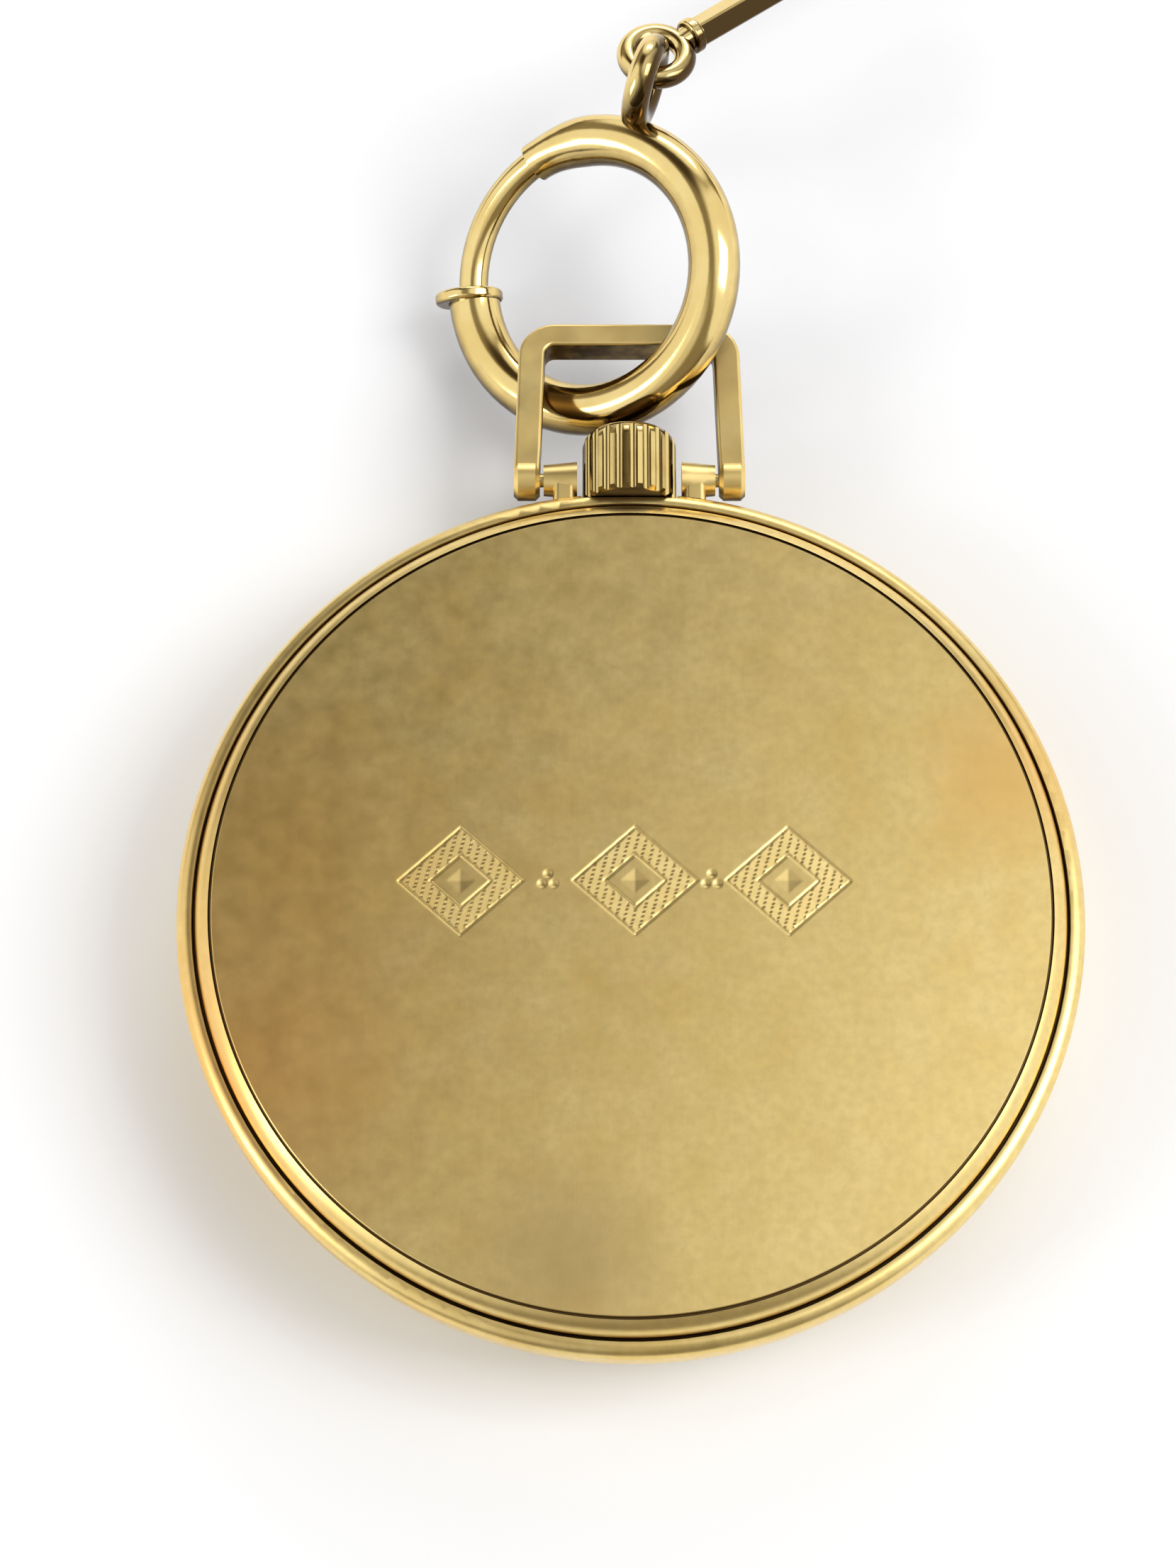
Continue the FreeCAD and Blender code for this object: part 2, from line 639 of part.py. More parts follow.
def bolt_ring():
    """Tube with a bored mouth, the sliding bolt with its thumb collar, the spring and the eye."""
    where = ring_frame()
    radius = amount("ring_radius")
    tube = amount("ring_tube")
    middle = Vector()
    body = arc_tube(middle, radius, tube, MOUTH, TAPER)
    body = body.fuse(arc_tube(middle, radius, tube, TAPER, TIP, amount("ring_tip")))
    bore = arc_tube(middle, radius, amount("bolt_radius + 0.06"), MOUTH - 1, MOUTH + 96)
    socket = arc_tube(middle, radius, amount("bolt_radius + 0.03"), TIP - 7, TIP + 1)
    body = body.cut(bore).cut(socket)
    for reach in (0.75 * tube, tube):
        body = body.cut(arc_tube(middle, radius + reach, 0.34, MOUTH - 1, MOUTH + 34))
    eye_at = math.radians(EYE_ANGLE)
    base = Vector(math.cos(eye_at), math.sin(eye_at), 0)
    body.Placement = where
    stub = Part.makeCone(0.85, 0.5, 1.1, base * (radius + 0.55), base)
    stub.Placement = where.multiply(stub.Placement)
    solid = body.fuse(stub)
    part_of_code("ring_tube", solid)

    rod = arc_tube(middle, radius, amount("bolt_radius"), TIP - 360 - 2, MOUTH + 16)
    lift = Vector(*outward(MOUTH + 1, radius + 0.3), 0)
    along = Vector(-math.sin(math.radians(MOUTH + 1)), math.cos(math.radians(MOUTH + 1)), 0)
    collar = Part.makeCylinder(amount("collar_radius"), 0.62, lift - along * 0.31, along)
    rims = [e for e in collar.Edges if e.Curve.TypeId == "Part::GeomCircle"]
    collar = collar.makeFillet(0.2, rims)
    tunnel = arc_tube(middle, radius, tube + 0.04, MOUTH - 4, MOUTH + 6)
    key = Part.makeCylinder(0.22, tube + 0.15, Vector(*outward(MOUTH + 1, radius + 0.3), 0),
                            Vector(*outward(MOUTH + 1, 1), 0))
    bolt = rod.fuse(collar.cut(tunnel)).fuse(key)
    bolt.Placement = where
    part_of_code("ring_bolt", bolt)

    turns = []
    for index in range(12):
        angle = MOUTH + 44 + 3.4 * index
        normal = Vector(-math.sin(math.radians(angle)), math.cos(math.radians(angle)), 0)
        turn = Part.makeTorus(0.55, 0.11, Vector(*outward(angle, radius), 0), normal)
        turns.append(turn)
    spring = Part.makeCompound(turns)
    spring.Placement = where
    part_of_code("bolt_spring", spring)


def eye_axes():
    """Centre of the eye, its plane's normal, and the direction in it that leads to the link."""
    where = ring_frame()
    angle = math.radians(EYE_ANGLE)
    spoke = where.Rotation.multVec(Vector(math.cos(angle), math.sin(angle), 0))
    centre = where.multVec(Vector(*outward(EYE_ANGLE, amount("eye_reach")), 0))
    facing = spoke.cross(BAR_DIRECTION).normalize()
    normal = Rotation(spoke, EYE_TURN).multVec(facing)
    inside = (BAR_DIRECTION - normal * BAR_DIRECTION.dot(normal)).normalize()
    return centre, normal, inside


def eye_and_link():
    """The eye soldered on the ring, and the bar link with a loop at each end."""
    centre, normal, inside = eye_axes()
    eye = Part.makeTorus(amount("eye_radius"), amount("eye_wire"), centre, normal)
    part_of_code("ring_eye", eye.cut(piece_called("ring_tube")))

    loop_radius = amount("loop_radius")
    crossing = centre + inside * amount("eye_radius")
    across = normal.cross(inside).normalize()
    near = crossing + BAR_DIRECTION * 0.05
    neck = amount("neck_length")
    length = amount("bar_length")
    far = near + BAR_DIRECTION * (length + 2 * (loop_radius + neck))
    bar = link_bar(near + BAR_DIRECTION * (loop_radius + neck))
    link = bar
    for loop, towards in ((near, BAR_DIRECTION), (far, -BAR_DIRECTION)):
        link = link.fuse(Part.makeTorus(loop_radius, amount("loop_wire"), loop, across))
        link = link.fuse(Part.makeCone(0.58, 0.64 * amount("bar_width"), neck + 0.1,
                                       loop + towards * loop_radius, towards))
    part_of_code("bar_link", link)
    collars = []
    for loop, towards in ((near, BAR_DIRECTION), (far, -BAR_DIRECTION)):
        ring = Part.makeCylinder(0.77 * amount("bar_width"), 0.6,
                                 loop + towards * (loop_radius + neck - 0.55), towards)
        ring = ring.makeFillet(0.16, [e for e in ring.Edges if e.Curve.TypeId == "Part::GeomCircle"])
        collars.append(ring.cut(link))
    part_of_code("link_collars", Part.makeCompound(collars))


def link_bar(start):
    """The square bar, turned on its axis so that one edge lies uppermost."""
    width = amount("bar_width")
    length = amount("bar_length")
    box = Part.makeBox(width, width, length, Vector(-width / 2, -width / 2, 0))
    bar = box.makeChamfer(0.1, [e for e in box.Edges if abs(e.tangentAt(0).z) > 0.9])
    level = UP.cross(BAR_DIRECTION).normalize()
    face = Rotation(BAR_DIRECTION, -EDGE_TURN).multVec(BAR_DIRECTION.cross(level))
    bar.Placement = Placement(start, Rotation(BAR_DIRECTION.cross(face), face, BAR_DIRECTION, "ZXY"))
    return bar


# ---------------------------------------------------------------- dial side

def hand(x, y, low, high, hub, hole, length, width, tail, heading):
    """A tapered hand with a hub, pointing along an angle from +Y."""
    reach = amount(length)
    blade = slab([(-0.4 * width, -tail), (0.4 * width, -tail), (width / 2, 0.35 * reach),
                  (0.12, reach), (-0.12, reach), (-width / 2, 0.35 * reach)], low, high)
    shape = blade.fuse(cylinder(0, 0, low, high, hub)).cut(cylinder(0, 0, low - 1, high + 1, hole))
    shape.rotate(Vector(), UP, heading)
    shape.translate(Vector(amount(x), amount(y), 0))
    return shape


def dial_side():
    """Dial with its small seconds, applied markers, hands and the motion work."""
    low = amount("dial_low")
    high = amount("plate_low")
    body = padded("dial_disc", "dial_radius", "dial_low", "plate_low - dial_low",
                  [(0, 0, 1.1), (0, "fourth_y", 0.3)])
    sunk = doc.addObject("Part::Cylinder", "seconds_well")
    sunk.Height = 0.12
    sunk.Radius = 4.6
    place(sunk, 0, "fourth_y", "dial_low")
    dial = doc.addObject("Part::Cut", "dial_cut")
    dial.Base = body
    dial.Tool = sunk
    keep(dial, "dial")

    markers = []
    for hour in range(12):
        if hour == 6:
            continue
        angle = 90 + 30 * hour
        long_one = hour % 3 == 0
        length, width = (3.2, 0.75) if long_one else (2.4, 0.5)
        bar = Part.makeBox(length, width, 0.22, Vector(17.4 - length, -width / 2, low - 0.22))
        top = [e for e in bar.Edges if abs(e.BoundBox.ZMax - low + 0.22) < 1e-6]
        bar = bar.makeChamfer(0.08, top)
        bar.rotate(Vector(), UP, angle)
        markers.append(bar)
    part_of_code("hour_markers", Part.makeCompound(markers))

    part_of_code("hour_hand", hand(0, 0, 3.65, 3.8, 0.95, 0.62 + 0.12, "hour_length", 0.95, 1.6, 60))
    part_of_code("minute_hand", hand(0, 0, 3.25, 3.38, 0.75, 0.45, "minute_length", 0.7, 2.4, -54))
    second = hand(0, "fourth_y", 3.95, 4.05, 0.4, 0.14, "second_length", 0.24, 1.3, 140)
    part_of_code("seconds_hand", second)

    cannon = turned_at(0, 0, [(3.1, 4.3, 0.45), (4.3, 5.05, 0.5)])
    leaves = toothed(0, 0, 5.05, 5.25, "cannon_teeth", 0.2, 0)
    cannon = cannon.fuse(leaves).cut(cylinder(0, 0, 3.0, 5.4, 0.3))
    part_of_code("cannon_pinion", cannon)

    hour = toothed(0, 0, 4.76, 4.9, "hour_teeth", 0.192, 0)
    hour = hour.fuse(cylinder(0, 0, 3.65, 4.76, 0.74)).cut(cylinder(0, 0, 3.6, 5.0, 0.55))
    part_of_code("hour_wheel", hour)

    bearing = math.degrees(math.atan2(amount("minute_wheel_y"), amount("minute_wheel_x")))
    wheel = toothed("minute_wheel_x", "minute_wheel_y", 5.05, 5.22, "minute_teeth", 0.2,
                    meshing(0, "cannon_teeth", "minute_teeth", bearing))
    pinion = toothed("minute_wheel_x", "minute_wheel_y", 4.76, 5.05, "minute_pinion_teeth", 0.192,
                     meshing(0, "hour_teeth", "minute_pinion_teeth", bearing))
    stub = cylinder("minute_wheel_x", "minute_wheel_y", 4.7, 5.3, 0.33)
    part_of_code("minute_wheel", wheel.fuse(pinion).cut(stub))

    from_minute = math.degrees(math.atan2(amount("setting_y - minute_wheel_y"),
                                          amount("setting_x - minute_wheel_x")))
    phase = meshing(meshing(0, "cannon_teeth", "minute_teeth", bearing), "minute_teeth",
                    "setting_teeth", from_minute)
    setting = toothed("setting_x", "setting_y", 5.05, 5.22, "setting_teeth", 0.2, phase)
    part_of_code("setting_wheel", setting.cut(cylinder("setting_x", "setting_y", 4.7, 5.3, 0.43)))


def meshing(phase, teeth, other_teeth, bearing):
    """The phase that puts a gap of the second wheel on a tooth of the first, in degrees. Bearing is
    the direction from the first wheel to the second."""
    pitch = 360 / amount(teeth)
    other_pitch = 360 / amount(other_teeth)
    tooth_at = ((bearing - phase) / pitch) % 1
    return (bearing + 180 + (0.5 + tooth_at) * other_pitch) % other_pitch


# ---------------------------------------------------------------- plates and bridges

def main_plate():
    """Main plate with its recesses, the stem channel and block, and the posts of the dial side."""
    plate = cylinder(0, 0, "plate_low", "plate_high", "plate_radius")
    block = slab([(-2.3, 15.3), (2.3, 15.3), (2.3, 18.6), (-2.3, 18.6)], "plate_high", "bridge_low")
    block = block.common(cylinder(0, 0, "plate_high", "bridge_low", "plate_radius - 0.2"))
    plate = plate.fuse(block)
    recesses = [cylinder("barrel_x", "barrel_y", 5.5, "plate_high", 8.35),
                cylinder(0, 0, "plate_low", 5.32, 4.5),
                cylinder("minute_wheel_x", "minute_wheel_y", "plate_low", 5.32, 4.1),
                cylinder("setting_x", "setting_y", "plate_low", 5.32, 2.1),
                rod_y(0, "stem_height", CHANNEL_START, 15.3, 1.27),
                rod_y(0, "stem_height", 15.3, 19.2, "stem_radius + 0.03"),
                slab([(0, 15.0), (3.2, 15.0), (3.2, 16.75), (0, 16.75)], 6.2, 7.3),
                slab([(-0.8, 11.0), (0.8, 11.0), (0.8, 11.75), (-0.8, 11.75)], 5.2, 5.95)]
    for tool in recesses:
        plate = plate.cut(tool)
    for angle in (35, 155, 270):
        x, y = outward(angle, amount("plate_radius - 0.75"))
        plate = plate.cut(cylinder(x, y, "plate_low", "plate_high + 1", 0.4))
    for x, y, radius in PIVOTS:
        plate = plate.cut(cylinder(x, y, "plate_low - 1", "plate_high + 1", radius))
    plate = plate.cut(cylinder("barrel_x", "barrel_y", "plate_low", "plate_high", 0.79))
    for x, y, radius in (("minute_wheel_x", "minute_wheel_y", 0.30), ("setting_x", "setting_y", 0.4)):
        plate = plate.fuse(cylinder(x, y, 4.74, 5.4, radius))
    for x, y in (LEVER_PIVOT, YOKE_PIVOT):
        plate = plate.fuse(cylinder(x, y, 5.8, 7.15, 0.35))
    part_of_code("main_plate", plate.removeSplitter())


# bearing holes in the main plate: axis and radius, which the lower jewels or the arbors fill
PIVOTS = [(0, 0, 0.52), ("third_x", "third_y", 0.6), (0, "fourth_y", 0.6),
          ("escape_x", "escape_y", 0.6), ("pallet_x", "pallet_y", 0.6),
          ("balance_x", "balance_y", 0.8)]
BRIDGE_SCREWS = {
    "barrel_bridge": [(-16.2, 1.6), (-8.6, 15.4), (7.2, 13.8)],
    "train_bridge": [(13.8, 2.4), (9.8, -12.6), (-3.6, -15.9)],
    "pallet_bridge": [(-9.95, -13.3), (-5.75, -7.0)],
    "balance_cock": [(-17.25, -5.1)],
}


def bridge(label, outline, low, high, feet, holes):
    """A bridge on round feet, with bearing holes and holes for its screws."""
    disc = cylinder(0, 0, low, high, "plate_radius - 0.25")
    shape = slab(outline, low, high).common(disc)
    for x, y, radius in feet:
        foot = cylinder(x, y, "plate_high", low, radius)
        shape = shape.fuse(foot.common(cylinder(0, 0, 0, 12, "plate_radius - 0.25")))
    for x, y, radius in holes:
        shape = shape.cut(cylinder(x, y, amount(low) - 1, amount(high) + 1, radius))
    for x, y in BRIDGE_SCREWS[label]:
        shape = shape.cut(cylinder(x, y, "plate_high", amount(high) + 1, 0.4))
        shape = shape.cut(cylinder(x, y, amount(high) - 0.12, amount(high) + 1, 0.85))
    return shape


def bridges():
    """Barrel bridge, train bridge, pallet bridge and balance cock, and all their screws."""
    low = "bridge_low"
    high = "bridge_high"
    feet = [(x, y, 1.3) for x, y in BRIDGE_SCREWS["barrel_bridge"]]
    barrel = bridge("barrel_bridge",
                    [(-19, -0.2), (-4.6, -0.2), (-1.6, 2.6), (6.0, 4.6), (16.5, 5.4), (16.5, 19),
                     (-19, 19)], low, high, feet, [("barrel_x", "barrel_y", 0.93)])
    barrel = barrel.cut(rod_y(0, "stem_height", CHANNEL_START, 15.3, 1.27))
    barrel = barrel.cut(cylinder("crown_wheel_x", "crown_wheel_y", low, high, 0.62))
    part_of_code("barrel_bridge", barrel)

    feet = [(x, y, 1.25) for x, y in BRIDGE_SCREWS["train_bridge"]]
    train = bridge("train_bridge",
                   [(-1.7, 2.2), (-3.2, -1.6), (-5.2, -5.0), (-6.2, -9.2), (-6.6, -11.6), (-6.4, -18),
                    (12, -17), (19, -6), (19, 4.9), (6.2, 4.1)], low, high, feet,
                   [(0, 0, 0.6), ("third_x", "third_y", 0.6), (0, "fourth_y", 0.6),
                    ("escape_x", "escape_y", 0.6)])
    clear = cylinder("balance_x", "balance_y", low, high, "balance_radius + 0.5")
    part_of_code("train_bridge", train.cut(clear))

    feet = [(x, y, 0.8) for x, y in BRIDGE_SCREWS["pallet_bridge"]]
    pallet = bridge("pallet_bridge",
                    [(-10.9, -13.7), (-9.3, -14.2), (-7.0, -9.9), (-5.4, -8.3), (-5.0, -6.4),
                     (-6.4, -6.1), (-8.5, -8.7), (-10.9, -12.4)],
                    6.7, 7.0, feet, [("pallet_x", "pallet_y", 0.5)])
    part_of_code("pallet_bridge", pallet)

    cock = bridge("balance_cock",
                  [(-18.9, -3.4), (-15.2, -4.6), (-11.6, -5.5), (-9.8, -6.0), (-9.8, -7.4),
                   (-11.6, -7.9), (-15.2, -8.9), (-17.6, -9.6)],
                  7.86, 8.16, [], [("balance_x", "balance_y", 0.62)])
    foot = slab([(-18.9, -3.4), (-16.45, -4.15), (-16.45, -9.2), (-17.6, -9.6), (-18.9, -9)],
                "plate_high", 7.86)
    x, y = BRIDGE_SCREWS["balance_cock"][0]
    foot = foot.cut(cylinder(x, y, "plate_high", 8, 0.4))
    foot = foot.common(cylinder(0, 0, 0, 12, "plate_radius - 0.25"))
    part_of_code("balance_cock", cock.fuse(foot).removeSplitter())

    screws = []
    for label, top in (("barrel_bridge", high), ("train_bridge", high), ("pallet_bridge", 7.0)):
        for x, y in BRIDGE_SCREWS[label]:
            radius = 0.62 if label == "pallet_bridge" else 0.8
            screws.append(screw(x, y, amount(top) - 0.12, amount(top) + 0.1, radius,
                                "plate_high", 0.36))
    x, y = BRIDGE_SCREWS["balance_cock"][0]
    screws.append(screw(x, y, 8.04, 8.2, 0.8, "plate_high", 0.36))
    part_of_code("bridge_screws", Part.makeCompound(screws))


def jewels():
    """Pressed ruby bearings of the train, pallet and balance pivots, in two levels."""
    stones = []
    for x, y, radius in PIVOTS[1:]:
        stones.append(ring_of(x, y, 5.35, 5.7, radius, 0.13))
    for x, y in ((0, 0), ("third_x", "third_y"), (0, "fourth_y"), ("escape_x", "escape_y")):
        hole = 0.33 if (x, y) == (0, 0) else 0.13
        stones.append(ring_of(x, y, 7.35, "bridge_high", 0.6, hole))
    stones.append(ring_of("pallet_x", "pallet_y", 6.75, 7.0, 0.5, 0.13))
    stones.append(ring_of("balance_x", "balance_y", 7.9, 8.16, 0.62, 0.13))
    part_of_code("jewels", Part.makeCompound(stones))


# ---------------------------------------------------------------- barrel and going train

def barrel():
    """Barrel with teeth, its lid, arbor, mainspring, ratchet wheel and screw."""
    x, y = "barrel_x", "barrel_y"
    drum = cylinder(x, y, 5.58, 6.42, 7.35)
    drum = drum.fuse(toothed(x, y, 6.05, 6.38, "barrel_teeth", 0.2, barrel_phase()))
    drum = drum.cut(cylinder(x, y, 5.74, 6.5, 6.9)).cut(cylinder(x, y, 5.5, 6.5, 0.9))
    part_of_code("barrel_drum", drum)
    part_of_code("barrel_lid", ring_of(x, y, 6.42, 6.55, 7.35, 0.9))
    arbor = turned_at(x, y, [(4.95, 5.58, 0.75), (5.58, 5.76, 0.86), (5.76, 6.4, 1.5),
                             (6.4, 6.62, 0.86), (6.62, 7.2, 1.2), (7.2, 7.8, 0.89),
                             (7.8, 8.06, 0.7)])
    arbor = arbor.cut(cylinder(x, y, 7.6, 8.1, 0.3))
    part_of_code("barrel_arbor", arbor)
    part_of_code("mainspring", spiral(amount(x), amount(y), 5.8, 6.36, 1.75, 6.7, 9, 0.14))

    ratchet = toothed(x, y, "bridge_high + 0.02", 8.06, "ratchet_teeth", 0.22, ratchet_phase())
    ratchet = ratchet.cut(cylinder(x, y, 7.7, 8.3, 0.7))
    part_of_code("ratchet_wheel", ratchet)
    part_of_code("ratchet_screw", screw(x, y, 8.06, 8.2, 1.3, 7.6, 0.3))

    x, y = "crown_wheel_x", "crown_wheel_y"
    wheel = toothed(x, y, "bridge_high + 0.02", 8.06, "crown_wheel_teeth", 0.22, 0)
    core = turned_at(x, y, [("bridge_low", 7.8, 0.6), (7.8, 8.07, 0.9)])
    core = core.cut(cylinder(x, y, 7.6, 8.1, 0.3))
    part_of_code("crown_wheel", wheel.cut(cylinder(x, y, 7.7, 8.3, 0.96)))
    part_of_code("crown_wheel_core", core)
    part_of_code("crown_wheel_screw", screw(x, y, 8.07, 8.2, 1.3, 7.6, 0.3))

    part_of_code("click", click())
    wire = arc_wire()
    part_of_code("click_spring", wire)


def barrel_phase():
    """The barrel's phase in mesh with the centre pinion, whose leaf stands at 0 degrees."""
    bearing = math.degrees(math.atan2(amount("barrel_y"), amount("barrel_x")))
    return meshing(0, "centre_pinion_teeth", "barrel_teeth", bearing)


def ratchet_phase():
    """The ratchet wheel's phase in mesh with the crown wheel, whose tooth stands at 0 degrees."""
    bearing = math.degrees(math.atan2(amount("barrel_y - crown_wheel_y"),
                                      amount("barrel_x - crown_wheel_x")))
    return meshing(0, "crown_wheel_teeth", "ratchet_teeth", bearing)


def click():
    """Pawl beside the ratchet wheel, on a post in the barrel bridge."""
    pawl = slab([(-1.05, 0.75), (1.5, 0.55), (2.1, -0.25), (-0.2, -1.05)], 7.82, 8.06)
    pawl = pawl.fuse(cylinder(0, 0, 7.82, 8.06, 0.95)).fuse(cylinder(0, 0, 8.06, 8.16, 0.6))
    pawl.rotate(Vector(), UP, 215)
    pawl.translate(Vector(-4.9, 12.95, 0))
    return pawl


def arc_wire():
    """Bent flat spring that presses the click."""
    outer = ring_of(-9.6, 15.1, 7.82, 8.0, 3.0, 2.8)
    return outer.common(pie(-9.6, 15.1, 7.5, 8.3, 4, -100, 15))


def spiral(x, y, low, high, start, end, turns, thick):
    """A flat spring wound in a spiral, as one band of constant thickness."""
    steps = 24 * turns
    inside, outside = [], []
    for step in range(steps + 1):
        share = step / steps
        angle = 2 * math.pi * turns * share
        radius = start + (end - start) * share
        inside.append((x + radius * math.cos(angle), y + radius * math.sin(angle)))
        wide = radius + thick
        outside.append((x + wide * math.cos(angle), y + wide * math.sin(angle)))
    return slab(inside + outside[::-1], low, high)


def train():
    """Centre, third, fourth and escape wheels with their pinions and arbors."""
    centre = toothed(0, 0, 6.7, 6.85, "centre_teeth", 0.16, 0)
    centre = spoked(centre, 0, 0, 6.7, 6.85, 1.5, 5.3, 5)
    centre = centre.fuse(toothed(0, 0, 5.95, 6.6, "centre_pinion_teeth", 0.2, 0))
    post = turned_at(0, 0, [(3.3, 5.3, 0.27), (5.3, 5.9, 0.46), (5.9, 7.1, 0.55), (7.1, 7.7, 0.31)])
    part_of_code("centre_wheel", centre.fuse(post))

    bearing = math.degrees(math.atan2(amount("third_y"), amount("third_x")))
    pinion_phase = meshing(0, "centre_teeth", "third_pinion_teeth", bearing)
    x, y = "third_x", "third_y"
    third = spoked(toothed(x, y, 6.05, 6.2, "third_teeth", 0.14, 0), x, y, 6.05, 6.2, 1.2, 4.3, 5)
    third = third.fuse(toothed(x, y, 6.5, 7.05, "third_pinion_teeth", 0.16, pinion_phase))
    third = third.fuse(arbor_of(x, y, 5.95, 7.1))
    part_of_code("third_wheel", third)

    bearing = math.degrees(math.atan2(amount("fourth_y - third_y"), -amount("third_x")))
    pinion_phase = meshing(0, "third_teeth", "fourth_pinion_teeth", bearing)
    x, y = 0, "fourth_y"
    fourth = spoked(toothed(x, y, 6.95, 7.08, "fourth_teeth", 0.12, 0), x, y, 6.95, 7.08, 1.0, 4.0, 5)
    fourth = fourth.fuse(toothed(x, y, 5.95, 6.35, "fourth_pinion_teeth", 0.14, pinion_phase))
    fourth = fourth.fuse(arbor_of(x, y, 5.93, 7.14))
    fourth = fourth.fuse(cylinder(x, y, 3.9, 5.5, 0.11))
    part_of_code("fourth_wheel", fourth)

    bearing = math.degrees(math.atan2(amount("escape_y - fourth_y"), amount("escape_x")))
    pinion_phase = meshing(0, "fourth_teeth", "escape_pinion_teeth", bearing)
    x, y = "escape_x", "escape_y"
    escape = escape_wheel()
    escape = escape.fuse(toothed(x, y, 6.82, 7.14, "escape_pinion_teeth", 0.12, pinion_phase))
    part_of_code("escape_wheel", escape.fuse(arbor_of(x, y, 5.95, 7.16)))


def arbor_of(x, y, low, high):
    """An arbor with a thin pivot at each end."""
    return turned_at(x, y, [(5.4, low, 0.11), (low, high, 0.28), (high, 7.65, 0.11)])


def escape_wheel():
    """Fifteen leaning club teeth on a light rim with four spokes."""
    count = int(amount("escape_teeth"))
    corners = []
    for index in range(count):
        base = 360 / count * index
        for radius, turn in ((2.0, 0), (2.6, 7), (2.55, 10.5), (1.95, 8)):
            corners.append(outward(base + turn, radius))
    wheel = slab(corners, 6.35, 6.5)
    wheel = spoked(wheel, 0, 0, 6.35, 6.5, 0.6, 1.65, 4)
    wheel.translate(Vector(amount("escape_x"), amount("escape_y"), 0))
    return wheel


# ---------------------------------------------------------------- escapement and balance

def escapement():
    """Pallet fork, balance with roller and rim screws, hairspring and regulator."""
    along = Vector(amount("balance_x - pallet_x"), amount("balance_y - pallet_y"), 0)
    heading = math.degrees(math.atan2(along.y, along.x))
    reach = along.Length - 0.45
    lever = slab([(-0.5, -0.28), (reach - 0.5, -0.14), (reach - 0.45, -0.42), (reach, -0.36),
                  (reach, -0.13), (reach - 0.32, -0.11), (reach - 0.32, 0.11), (reach, 0.13),
                  (reach, 0.36), (reach - 0.45, 0.42), (reach - 0.5, 0.14), (-0.5, 0.28)], 6.3, 6.45)
    arms = slab([(-0.4, 1.5), (-0.75, 1.3), (-0.3, 0.9), (-0.3, -0.9), (-0.75, -1.3),
                 (-0.4, -1.5), (0.2, -0.8), (0.2, 0.8)], 6.3, 6.45)
    fork = lever.fuse(arms)
    fork.rotate(Vector(), UP, heading)
    fork.translate(Vector(amount("pallet_x"), amount("pallet_y"), 0))
    arbor = turned_at("pallet_x", "pallet_y", [(5.4, 5.95, 0.11), (5.95, 6.65, 0.22),
                                               (6.65, 6.95, 0.11)])
    part_of_code("pallet_fork", fork.fuse(arbor))

    x, y = "balance_x", "balance_y"
    rim = ring_of(x, y, 7.2, 7.5, "balance_radius", "balance_radius - 0.5")
    arm = slab([(-4.7, -0.3), (4.7, -0.3), (4.7, 0.3), (-4.7, 0.3)], 7.22, 7.42)
    arm.rotate(Vector(), UP, 28)
    arm.translate(Vector(amount(x), amount(y), 0))
    staff = turned_at(x, y, [(5.4, 5.95, 0.11), (5.95, 6.6, 0.25), (6.6, 6.78, 1.1),
                             (6.78, 7.6, 0.4), (7.6, 7.75, 0.3), (7.75, 8.1, 0.11)])
    pin = cylinder(0.85, 0, 6.5, 6.62, 0.11)
    pin.rotate(Vector(), UP, heading + 180)
    pin.translate(Vector(amount(x), amount(y), 0))
    part_of_code("balance_wheel", rim.fuse(arm).fuse(staff).fuse(pin))

    weights = []
    for index in range(14):
        angle = 360 / 14 * (index + 0.5) + 28
        out = Vector(*outward(angle, 1), 0)
        centre = Vector(amount(x), amount(y), 7.35)
        weights.append(Part.makeCylinder(0.14, 0.32, centre + out * amount("balance_radius"), out))
    part_of_code("balance_screws", Part.makeCompound(weights))

    spring = spiral(amount(x), amount(y), 7.62, 7.72, 0.55, 2.9, 9, 0.05)
    part_of_code("hairspring", spring)
    index_arm = ring_of(x, y, 8.16, 8.22, 1.1, 0.66)
    tail = slab([(-0.16, 1.0), (0.16, 1.0), (0.06, 3.4), (-0.06, 3.4)], 8.16, 8.22)
    tail.rotate(Vector(), UP, 78)
    tail.translate(Vector(amount(x), amount(y), 0))
    part_of_code("regulator", index_arm.fuse(tail))


# ---------------------------------------------------------------- keyless work

